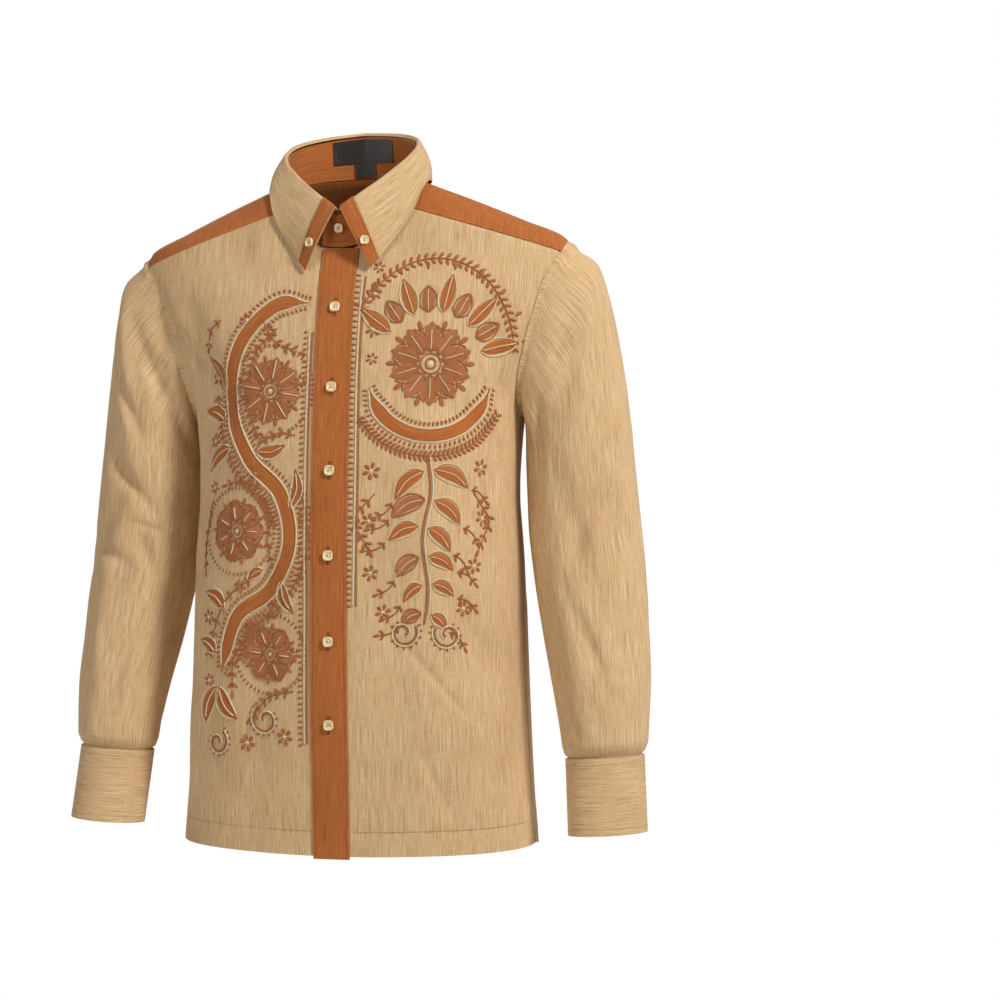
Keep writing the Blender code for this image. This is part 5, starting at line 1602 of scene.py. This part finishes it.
def thread(name, base, dark, roughness, sheen, twist):
    material, tree = new_material(name)
    along = add_node(tree, "UVMap")[0]
    sized = add_node(tree, "Mapping", Vector=along, Rotation=(0, 0, radians(twist)),
                     Scale=(1 / THREAD_PITCH, 1 / THREAD_PITCH, 1))
    strands = add_node(tree, "TexWave", {"wave_type": "BANDS"}, Vector=sized[0], Scale=0.5,
                       Distortion=0.6, Detail=1.0)[1]
    patches = add_node(tree, "TexNoise", {"noise_dimensions": "2D"}, Vector=along, Scale=140.0)[0]
    # Painted highlight and shade: lighter base colour on the strands' crests, dark colour in the
    # grooves
    lit = add_node(tree, "MapRange", Value=strands, From_Min=0.1, From_Max=1.2)[0]
    worn = add_node(tree, "MapRange", Value=patches, From_Min=0.50, From_Max=0.85)[0]
    colour = add_node(tree, "Mix", {"data_type": "RGBA"}, _0=lit, _6=linear(dark),
                      _7=linear(base))[2]
    colour = add_node(tree, "Mix", {"data_type": "RGBA"}, _0=worn, _6=colour, _7=linear(dark))[2]
    bump = add_node(tree, "Bump", Strength=0.7, Distance=0.3 * MM, Height=strands)[0]
    shader = add_node(tree, "BsdfPrincipled", Base_Color=colour, Normal=bump, Roughness=roughness,
                      Specular_IOR_Level=0.4, Sheen_Weight=sheen)
    add_node(tree, "OutputMaterial", Surface=shader[0])
    return material


# Each thread's first colour is its painted highlight on the strands and its second its painted
# shade in the grooves; the second also tints random darker patches
COPPER_THREAD = thread("copper rayon thread, stitched", "#CC8144", "#9A5428", 0.5, 0.15, 65)
CREAM_CORD = thread("cream cotton cord, couched", "#F8EACC", "#DFC79A", 0.6, 0.1, 40)
print("threads:", COPPER_THREAD.name, "/", CREAM_CORD.name)

# %% Drawing stitches flat
APPLIQUE, COPPER, CREAM = range(3)
THREAD_SEAT = 0.2 * MM
CLOTH_SEAT = 0.3 * MM
THREAD_HEIGHT = 1.1 * MM
CORD_STEP = 3 * MM
# A chain's links are this many points long, and swell by this share
CHAIN_LINK = 3
CHAIN_SWELL = 0.38
CHAIN_STEP = 1.1 * MM
CHAIN_WIDTH = 2.6 * MM
FINE_CHAIN = 1.8 * MM
CORD_WIDTH = 1.9 * MM
FINE_CORD = 1.5 * MM
RIB_WIDTH = 1.3 * MM
RIB_HEIGHT = 1.7 * MM
LEAF_DOME = 0.7 * MM
LEAF_COLUMNS = 5
# The share of a leaf's width that its fill takes, inside its outline
LEAF_FILL = 0.74
RIBBON_DOME = 0.6 * MM
RIBBON_STRIPS = 6
# A loop's length and width, and the space from one to the next
LOOP = (4.8 * MM, 3.0 * MM)
LOOP_SPACING = 5.2 * MM


def flow(points, step=0.002):
    """Run an even line of points through a few places, as a bent wire would go."""
    knots = np.array(points, dtype=float)
    knots = np.concatenate((2 * knots[:1] - knots[1:2], knots, 2 * knots[-1:] - knots[-2:-1]))
    t = np.linspace(0, 1, 24)[:-1, None]
    pieces = []
    for a, b, c, d in zip(knots[:-3], knots[1:-2], knots[2:-1], knots[3:]):
        bend = (2 * a - 5 * b + 4 * c - d) * t ** 2 + (3 * b - a - 3 * c + d) * t ** 3
        pieces.append(b + ((c - a) * t + bend) / 2)
    line = np.concatenate(pieces + [knots[-2:-1]])
    length = np.concatenate(([0], np.cumsum(np.linalg.norm(np.diff(line, axis=0), axis=1))))
    even = np.linspace(0, length[-1], max(int(round(length[-1] / step)), 3) + 1)
    return np.stack([np.interp(even, length, line[:, axis]) for axis in (0, 1)], axis=-1)


def ways(line):
    """Give the direction along a flat line and the one to its left, at each of its points."""
    along = unit(np.gradient(line, axis=0))
    return along, along[:, ::-1] * (-1, 1)


def towards(angle):
    return np.array([cos(angle), sin(angle)])


def bent(start, end, bend):
    """Run a line between two places, bowed to its left by a share of its length."""
    start, end = np.array(start, dtype=float), np.array(end, dtype=float)
    way = end - start
    return flow((start, (start + end) / 2 + np.array([-way[1], way[0]]) * bend, end))


def arc(centre, across, up, first, last, count):
    """List places round an oval, from one angle to another in degrees."""
    angle = np.radians(np.linspace(first, last, count))
    return np.array(centre) + np.stack((across * np.cos(angle), up * np.sin(angle)), axis=-1)


def beside(line, distance):
    return line + ways(line)[1] * np.reshape(distance, (-1, 1))


class Embroidery:
    """Collects flat stitches for one front, in three threads, and lays them on the cloth."""

    def __init__(self, side):
        self.side = side
        self.parts = {kind: ([], [], []) for kind in (APPLIQUE, COPPER, CREAM)}
        self.counts = dict.fromkeys(self.parts, 0)

    def add_grid(self, kind, flat, lift, uv):
        rows, columns = lift.shape
        number = np.arange(rows * columns).reshape(rows, columns) + self.counts[kind]
        quads = np.stack((number[:-1, :-1], number[:-1, 1:], number[1:, 1:], number[1:, :-1]), -1)
        points, faces, places = self.parts[kind]
        points.append(np.concatenate((flat, lift[..., None]), axis=-1).reshape(-1, 3))
        faces.append(quads.reshape(-1, 4))
        places.append(uv.reshape(-1, 2))
        self.counts[kind] += rows * columns

    def ridge(self, kind, line, width, height, bead=0.0):
        """Sew a raised line; bead is how far each link of a chain stitch swells."""
        along, left = ways(line)
        swell = 1 - bead * (np.arange(len(line)) % CHAIN_LINK == 0)
        ends = np.ones(len(line))
        ends[[0, -1]] = 0.25
        across = np.array([0.5, 0.3, -0.3, -0.5])
        rise = np.array([0.0, 1.0, 1.0, 0.0])
        half = (width * swell * ends)[:, None] * across[None, :]
        flat = line[:, None] + left[:, None] * half[..., None]
        lift = THREAD_SEAT + height * (swell * ends)[:, None] * rise[None, :]
        length = np.arange(len(line)) * np.linalg.norm(line[1] - line[0])
        uv = np.stack(np.broadcast_arrays(across[None, :] * width * 2, length[:, None]), axis=-1)
        self.add_grid(kind, flat[:, ::-1], lift[:, ::-1], uv[:, ::-1])

    def chain(self, points, width=CHAIN_WIDTH):
        self.ridge(COPPER, flow(points, CHAIN_STEP), width, THREAD_HEIGHT, CHAIN_SWELL)

    def cord(self, points, width=CORD_WIDTH):
        self.ridge(CREAM, flow(points, CORD_STEP), width, THREAD_HEIGHT)

    def shape(self, kind, line, widths, height, columns):
        """Fill a strip along a line, of these widths, domed to this height."""
        left = ways(line)[1]
        across = np.linspace(0.5, -0.5, columns)
        flat = line[:, None] + left[:, None] * (widths[:, None] * across[None, :])[..., None]
        lift = CLOTH_SEAT + height * np.broadcast_to(1 - (2 * across) ** 4, flat.shape[:2])
        length = np.arange(len(line)) * np.linalg.norm(line[1] - line[0])
        uv = np.stack((widths[:, None] * across[None, :],
                       np.broadcast_to(length[:, None], flat.shape[:2])), axis=-1)
        self.add_grid(kind, flat[:, ::-1], lift[:, ::-1], uv[:, ::-1])

    def drop(self, place, angle, length, width, kind=COPPER):
        """Sew one small petal or loop from a place, pointing at an angle."""
        share = np.array([0.0, 0.25, 0.6, 0.88, 1.0])
        widths = width * np.array([0.2, 0.72, 1.0, 0.68, 0.12])
        way = towards(angle)
        line = np.array(place) + way * (share * length)[:, None]
        side_way = np.array([-way[1], way[0]])
        across = np.array([-0.5, 0.0, 0.5])
        flat = line[:, None] + side_way * (widths[:, None] * across)[..., None]
        rise = np.array([0.3, 1, 1, 1, 0.3])[:, None] * np.array([0, 1.0, 0])
        lift = THREAD_SEAT + THREAD_HEIGHT * rise
        uv = flat - np.array(place)
        self.add_grid(kind, flat, lift, uv)

    def loops(self, points, gap, length, width, lean=90.0, spacing=LOOP_SPACING):
        """Sew a row of small loops beside a line, on its left, each leaning this far over."""
        line = flow(points, spacing)
        along, left = ways(line)
        for place, way, out in zip(line, along, left):
            aim = way * cos(radians(lean)) + out * sin(radians(lean))
            self.drop(place + out * gap, np.arctan2(aim[1], aim[0]), length, width)

    def leaf(self, start, end, width, bend=0.12, fill=COPPER):
        """Sew a filled leaf with an outline and a cream rib."""
        line = bent(start, end, bend)
        share = np.linspace(0, 1, len(line))
        widths = width * np.sin(pi * share ** 0.85) ** 0.8 + 0.0002
        self.shape(fill, line, widths * LEAF_FILL, LEAF_DOME, LEAF_COLUMNS)
        for sign in (1, -1):
            edge = beside(line, sign * widths / 2)[::3]
            if fill == APPLIQUE:
                self.cord(edge, FINE_CORD)
            else:
                self.chain(edge, 0.0020)
        self.ridge(CREAM, flow(line[1:-1:4], CORD_STEP), RIB_WIDTH, RIB_HEIGHT)

    def sprig(self, start, end, pairs, size, bend=0.15):
        """Sew a thin stem with pairs of petals along it and one at its tip."""
        line = bent(start, end, bend)
        self.chain(line[::4], FINE_CHAIN)
        along = ways(line)[0]
        for place in np.linspace(0.15, 0.9, pairs) * (len(line) - 1):
            at = int(place)
            heading = np.arctan2(along[at, 1], along[at, 0])
            for lean in (0.85, -0.85):
                self.drop(line[at], heading + lean, size, size * 0.48)
        self.drop(line[-1], np.arctan2(along[-1, 1], along[-1, 0]), size * 1.2, size * 0.55)

    def garland(self, line, spacing=0.0085, size=0.0078):
        """Sew a chain with a pair of petals at every step along it."""
        gap = np.linalg.norm(line[1] - line[0])
        self.chain(line[:: max(int(0.003 / gap), 1)], FINE_CHAIN)
        heading = ways(line)[0]
        step = max(int(spacing / gap), 1)
        for at in range(step // 2, len(line), step):
            angle = np.arctan2(heading[at, 1], heading[at, 0])
            for lean in (0.95, -0.95):
                self.drop(line[at], angle + lean, size, size * 0.5)

    def blossom(self, centre, radius, petals=6, turn=0.3):
        """Sew a small flower of loops round a cream knot."""
        centre = np.array(centre, dtype=float)
        for angle in turn + np.arange(petals) * 2 * pi / petals:
            self.drop(centre + towards(angle) * radius * 0.28, angle, radius * 0.72,
                      radius * 0.50)
        self.drop(centre - (radius * 0.2, 0), 0.0, radius * 0.4, radius * 0.4, CREAM)

    def border(self, points, width=0.0055):
        """Sew a cream cord between a chain and a row of loops."""
        line = flow(points, CORD_STEP)
        self.cord(line[::3])
        self.chain(beside(line, -0.0030)[::3], 0.0022)
        self.loops(line[::3], 0.0020, width, 0.0034, 80, 0.0064)

    def rosette(self, centre, radius, petals, turn):
        """Sew a round flower: petals, a ring of loops between them and a knotted middle."""
        centre = np.array(centre)
        for petal in range(petals):
            angle = turn + 2 * pi * petal / petals
            way = towards(angle)
            self.leaf(centre + way * radius * 0.28, centre + way * radius,
                      2.0 * radius * sin(pi / petals) * 0.92, 0.0)
            between = angle + pi / petals
            self.drop(centre + towards(between) * radius * 0.80, between, radius * 0.26,
                      radius * 0.13)
        for share in (0.24, 0.12):
            self.chain(arc(centre, radius * share, radius * share, 0, 360, 25)[::2], 0.0022)
        self.drop(centre - (radius * 0.07, 0), 0.0, radius * 0.14, radius * 0.14, CREAM)

    def spiral(self, centre, radius, start_angle, turns):
        """Sew a curling end: a chain and a cord, with loops round its outer half."""
        share = np.linspace(0, 1, int(14 * abs(turns)) + 2)
        angle = start_angle + 2 * pi * turns * share
        reach = radius * (1 - 0.82 * share)
        curl = np.array(centre) + reach[:, None] * np.stack((np.cos(angle), np.sin(angle)), -1)
        self.chain(curl)
        self.cord(beside(curl, -CHAIN_WIDTH * np.sign(turns)))
        outer = curl[: len(curl) // 2 + 3]
        line = outer if turns < 0 else outer[::-1]
        self.loops(line, 0.0018, *LOOP)

    def ribbon(self, points, width, taper=0.03):
        """Sew a rust ribbon with a cream cord down each edge and loops outside the cords."""
        line = flow(points, CORD_STEP)
        length = np.arange(len(line)) * CORD_STEP
        from_end = np.minimum(length, length[-1] - length)
        widths = width * (0.12 + 0.88 * ease(from_end / taper))
        self.shape(APPLIQUE, line, widths, RIBBON_DOME, RIBBON_STRIPS)
        for sign in (1, -1):
            edge = beside(line, sign * widths / 2)
            self.cord(edge[::3])
            outside = edge if sign > 0 else edge[::-1]
            self.loops(outside[::3], 0.0022, 0.0052, 0.0033, 75)

    def lay(self, label):
        """Put the flat stitches on the front's outer side, one piece for each thread."""
        made = []
        for kind, word, material, slot in (
            (APPLIQUE, "applique", RUST_LINEN, "rust_linen"),
            (COPPER, "copper_stitching", COPPER_THREAD, "rust_linen"),
            (CREAM, "cream_cord", CREAM_CORD, "linen"),
        ):
            points, faces, places = (np.concatenate(part) for part in self.parts[kind])
            turn = front_turn(points[:, 1], points[:, 0]) * self.side
            normal = form_normal(turn, points[:, 1])
            laid = body(turn, points[:, 1]) + normal * points[:, 2:]
            if self.side < 0:
                faces = faces[:, ::-1]
            uv = places[faces.ravel()]
            name = f"{word}_{label}"
            made.append(add_piece(name, laid, faces.tolist(), material, slot, uv))
            print(name, "faces:", len(faces))
        return made


# %% [markdown]
# The right front carries a tall climbing vine: a ribbon in an S, with a rosette in each bend,
# pairs of leaves and curling ends. The left front has a fan of slender leaves over a large
# rosette, then a ribbon like a cup and a leafy stalk. They differ, as the two fronts of the real
# shirt do.

# %% Vine on the right front
vine = Embroidery(-1)
STEM = ((0.030, -0.136), (0.070, -0.138), (0.112, -0.180), (0.124, -0.245), (0.098, -0.305),
        (0.058, -0.345), (0.046, -0.400), (0.070, -0.450), (0.112, -0.480), (0.134, -0.540))
vine.ribbon(STEM, 0.017)
stem = flow(STEM)
for share_a, share_b, out in ((0.10, 0.44, -0.023), (0.30, 0.62, 0.022), (0.56, 0.96, -0.022),
                              (0.80, 0.98, 0.024)):
    first, last = int(share_a * len(stem)), int(share_b * len(stem))
    vine.garland(beside(stem, out)[first:last])
vine.border(((0.0275, -0.168), (0.0285, -0.300), (0.0275, -0.450), (0.0285, -0.618)))
# Each rosette's centre, radius, petals and turn, and the radius of the loops round it
VINE_ROSETTES = (
    ((0.072, -0.232), 0.038, 8, 0.2, 0.048), ((0.112, -0.385), 0.036, 7, 0.5, 0.045),
    ((0.070, -0.520), 0.032, 6, 0.1, 0.041),
)
for centre, radius, petals, turn, _ in VINE_ROSETTES:
    vine.rosette(centre, radius, petals, turn)
for start, end, width in (
    ((0.134, -0.232), (0.158, -0.190), 0.018), ((0.136, -0.262), (0.166, -0.250), 0.018),
    ((0.124, -0.292), (0.158, -0.318), 0.018), ((0.046, -0.362), (0.040, -0.318), 0.014),
    ((0.088, -0.298), (0.052, -0.292), 0.016), ((0.078, -0.428), (0.098, -0.440), 0.012),
    ((0.130, -0.470), (0.160, -0.452), 0.018), ((0.142, -0.520), (0.168, -0.505), 0.016),
    ((0.056, -0.440), (0.040, -0.476), 0.014), ((0.138, -0.556), (0.112, -0.592), 0.020),
    ((0.140, -0.556), (0.158, -0.598), 0.020),
):
    vine.leaf(start, end, width, fill=APPLIQUE)
for start, end, pairs, size in (
    ((0.084, -0.152), (0.040, -0.190), 5, 0.0085), ((0.104, -0.205), (0.112, -0.280), 6, 0.0085),
    ((0.040, -0.282), (0.078, -0.286), 4, 0.0080), ((0.080, -0.340), (0.128, -0.334), 5, 0.0080),
    ((0.152, -0.350), (0.164, -0.426), 6, 0.0085), ((0.040, -0.402), (0.066, -0.486), 6, 0.0075),
    ((0.098, -0.500), (0.118, -0.560), 5, 0.0085), ((0.040, -0.560), (0.094, -0.590), 6, 0.0085),
    ((0.136, -0.150), (0.158, -0.178), 3, 0.0075), ((0.062, -0.366), (0.068, -0.420), 4, 0.0070),
):
    vine.sprig(start, end, pairs, size)
for centre, *_, ring in VINE_ROSETTES:
    vine.loops(arc(centre, ring, ring, 0, 360, 60)[::3], 0.0, *LOOP, -90)
for place, radius in (
    ((0.146, -0.214), 0.009), ((0.150, -0.284), 0.009), ((0.036, -0.222), 0.008),
    ((0.104, -0.152), 0.009), ((0.088, -0.322), 0.008), ((0.150, -0.336), 0.008),
    ((0.154, -0.480), 0.009), ((0.040, -0.520), 0.009), ((0.108, -0.446), 0.008),
    ((0.100, -0.618), 0.010), ((0.052, -0.610), 0.010), ((0.152, -0.550), 0.008),
):
    vine.blossom(place, radius)
vine.spiral((0.076, -0.592), 0.017, radians(60), -1.25)
vine.spiral((0.140, -0.618), 0.014, radians(120), 1.25)
print("right front stitches:", vine.counts)
right_embroidery = vine.lay("right")

# %% Fan and spray on the left front
fan = Embroidery(1)
CENTRE = np.array([0.108, -0.206])
fan.border(((0.0275, -0.468), (0.0285, -0.350), (0.0275, -0.220), (0.0285, -0.104)))
fan.rosette(CENTRE, 0.046, 10, 0.3)
for number, angle in enumerate(np.radians(np.linspace(142, 14, 9))):
    way = towards(angle)
    fill, tip = (COPPER, 0.086) if number % 2 else (APPLIQUE, 0.100)
    fan.leaf(CENTRE + way * 0.056, CENTRE + way * tip, 0.019, 0.0, fill)
    fan.drop(CENTRE + way * 0.104, angle, 0.009, 0.0045)
cup = arc(CENTRE + (0, -0.012), 0.068, 0.066, -168, -12, 9)
fan.ribbon(cup, 0.015)
fan.garland(beside(flow(cup), -0.022)[10:-10])
crown = arc(CENTRE, 0.0928, 0.116, 150, 6, 13)
fan.garland(flow(crown), 0.0080, 0.0085)
STALK = ((0.106, -0.304), (0.110, -0.345), (0.102, -0.395), (0.108, -0.450), (0.104, -0.492))
stalk = flow(STALK)
fan.chain(stalk[::3], 0.0030)
fan.cord(beside(stalk, 0.0032)[::6])
heading = ways(stalk)[0]
for number, share in enumerate(np.linspace(0.08, 0.90, 6)):
    at = int(share * (len(stalk) - 1))
    angle = np.arctan2(heading[at, 1], heading[at, 0])
    for side, fill in ((0.95, APPLIQUE), (-0.95, COPPER if number % 2 else APPLIQUE)):
        way = towards(angle + side)
        size = 0.050 - 0.004 * number
        fan.leaf(stalk[at] + way * 0.006, stalk[at] + way * size, 0.020 - 0.0012 * number,
                 0.12 if side > 0 else -0.12, fill)
        fan.sprig(stalk[at] + way * (size + 0.004), stalk[at] + way * (size + 0.026), 2, 0.0072)
for place, radius in (
    ((0.046, -0.322), 0.010), ((0.168, -0.318), 0.010), ((0.044, -0.168), 0.009),
    ((0.044, -0.376), 0.009), ((0.172, -0.372), 0.010), ((0.046, -0.432), 0.009),
    ((0.160, -0.424), 0.009), ((0.060, -0.474), 0.009), ((0.148, -0.470), 0.009),
    ((0.044, -0.200), 0.007), ((0.044, -0.128), 0.008), ((0.046, -0.098), 0.007),
):
    fan.blossom(place, radius)
for reach, bend in ((0.050, -0.3), (0.160, 0.3)):
    fan.sprig((reach, -0.346), (reach + 0.02 * bend, -0.406), 6, 0.0085, bend)
fan.spiral((0.082, -0.496), 0.015, radians(30), -1.25)
fan.spiral((0.130, -0.498), 0.015, radians(150), 1.25)
print("left front stitches:", fan.counts)
left_embroidery = fan.lay("left")

# %% [markdown]
# Every piece of cloth is listed here as a sheet with the size it was cut to, as it shows: the
# sleeves all round, the rest one layer, without seam allowances, the turned hem or the facings.
# Nothing else holds the shirt, so each row names the piece it hangs from, and the yoke lies on
# the wearer's shoulders. Sizes are in metres, measured on the shells above. The script only
# lists the table and counts it.

# %% Cloth and its cuts
CUTS = (
    (front_left, (0.255, 0.725), 0.156, "hung", (yoke,), left_embroidery),
    (front_right, (0.285, 0.725), 0.176, "hung", (yoke,), right_embroidery),
    (back, (0.530, 0.580), 0.274, "hung", (yoke,), ()),
    (yoke, (0.500, 0.290), 0.123, "draped", (), ()),
    *((sleeves[label], (0.515, 0.590), 0.181, "hung", (yoke,), ()) for label in SIDES),
    *((cuffs[label], (0.284, 0.083), 0.0234, "hung", (sleeves[label],), ()) for label in SIDES),
    *((slits[label], (0.027, 0.104), 0.0026, "laid", (sleeves[label],), ()) for label in SIDES),
    (collar_stand, (0.560, 0.050), 0.0207, "laid", (yoke,), ()),
    (collar_fall, (0.550, 0.085), 0.0309, "folded", (collar_stand,), ()),
    *((strips[label], (0.019, 0.080), 0.0013, "laid", (collar_fall,), ()) for label in SIDES),
    (button_band, (0.041, 0.672), 0.0275, "laid", (front_left,), (buttonholes,)),
    (ribbons["neck_label"], (0.072, 0.027), 0.0019, "laid", (collar_stand,), ()),
    (ribbons["size_tab"], (0.025, 0.016), 0.0004, "laid", (collar_stand,), ()),
)
for piece, flat, area, held, under, on_it in CUTS:
    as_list(under)
    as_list(on_it)
print("sheets of cloth:", len(CUTS))

# %% [markdown]
# The studio is a white room with one soft lamp high on the wearer's left and a weaker one on the
# right, so that each fold has a lit side and a soft shaded one. The shirt hangs where a wearer
# would hold it, so the pale floor is a leg's length below the hem. A white sweep stands all round,
# and it is seen but gives no light of its own, because light from every side would wash the folds
# out.

# %% Light and stage
FLOOR_Z = -1.62
SWEEP_RADIUS = 7.0
FLOOR_RADIUS = 2.2
ROOM_LIGHT = 0.20
CHEST = Vector((0.0, 0.0, -0.30))
# Each lamp's place, size across and watts; all of them point at the chest
LAMPS = {
    "key_softbox": ((2.3, -1.5, 1.5), 0.7, 98),
    "fill_softbox": ((-1.6, -2.3, 0.4), 1.2, 24),
    "back_softbox": ((-1.4, 2.3, 1.2), 1.4, 48),
    "back_fill_softbox": ((2.2, 1.6, 0.4), 1.6, 14),
}


def add_stage(name, mesh, material):
    mesh.materials.append(material)
    mesh.shade_smooth()
    stage = bpy.data.objects.new(name, mesh)
    bpy.context.scene.collection.objects.link(stage)
    return stage


for name, (place, size, watts) in LAMPS.items():
    light = bpy.data.lights.new(name, "AREA")
    light.shape = "DISK"
    light.size = size
    light.energy = watts
    lamp = bpy.data.objects.new(name, light)
    bpy.context.scene.collection.objects.link(lamp)
    lamp.location = place
    lamp.rotation_euler = (CHEST - Vector(place)).to_track_quat("-Z", "Y").to_euler()
print("lamps:", len(LAMPS))

floor_paint, tree = new_material("white studio paint, rolled")
rolled = add_node(tree, "TexNoise", Scale=60.0, Detail=2.0)[0]
bump = add_node(tree, "Bump", Strength=0.1, Distance=1 * MM, Height=rolled)[0]
shader = add_node(tree, "BsdfPrincipled", Base_Color=linear("#EDEBE6"), Normal=bump, Roughness=0.8)
add_node(tree, "OutputMaterial", Surface=shader[0])
floor_mesh = bpy.data.meshes.new("studio_floor")
floor_form = bmesh.new()
bmesh.ops.create_circle(floor_form, cap_ends=True, segments=96, radius=FLOOR_RADIUS,
                        matrix=Matrix.Translation((0, 0, FLOOR_Z)))
floor_form.to_mesh(floor_mesh)
add_stage("studio_floor", floor_mesh, floor_paint)

sweep_paper, tree = new_material("white paper sweep, lit")
glow = add_node(tree, "Emission", Color=linear("#FFFFFF"), Strength=1.0)
add_node(tree, "OutputMaterial", Surface=glow[0])
sweep_mesh = bpy.data.meshes.new("studio_sweep")
sweep_form = bmesh.new()
bmesh.ops.create_uvsphere(sweep_form, u_segments=48, v_segments=24, radius=SWEEP_RADIUS)
sweep_form.to_mesh(sweep_mesh)
sweep = add_stage("studio_sweep", sweep_mesh, sweep_paper)
sweep.visible_diffuse = sweep.visible_glossy = sweep.visible_shadow = False

world = bpy.data.worlds.new("white studio")
bpy.context.scene.world = world
world.use_nodes = True
world.node_tree.nodes["Background"].inputs["Color"].default_value = (1, 1, 1, 1)
world.node_tree.nodes["Background"].inputs["Strength"].default_value = ROOM_LIGHT
bpy.context.scene.view_settings.view_transform = "Standard"
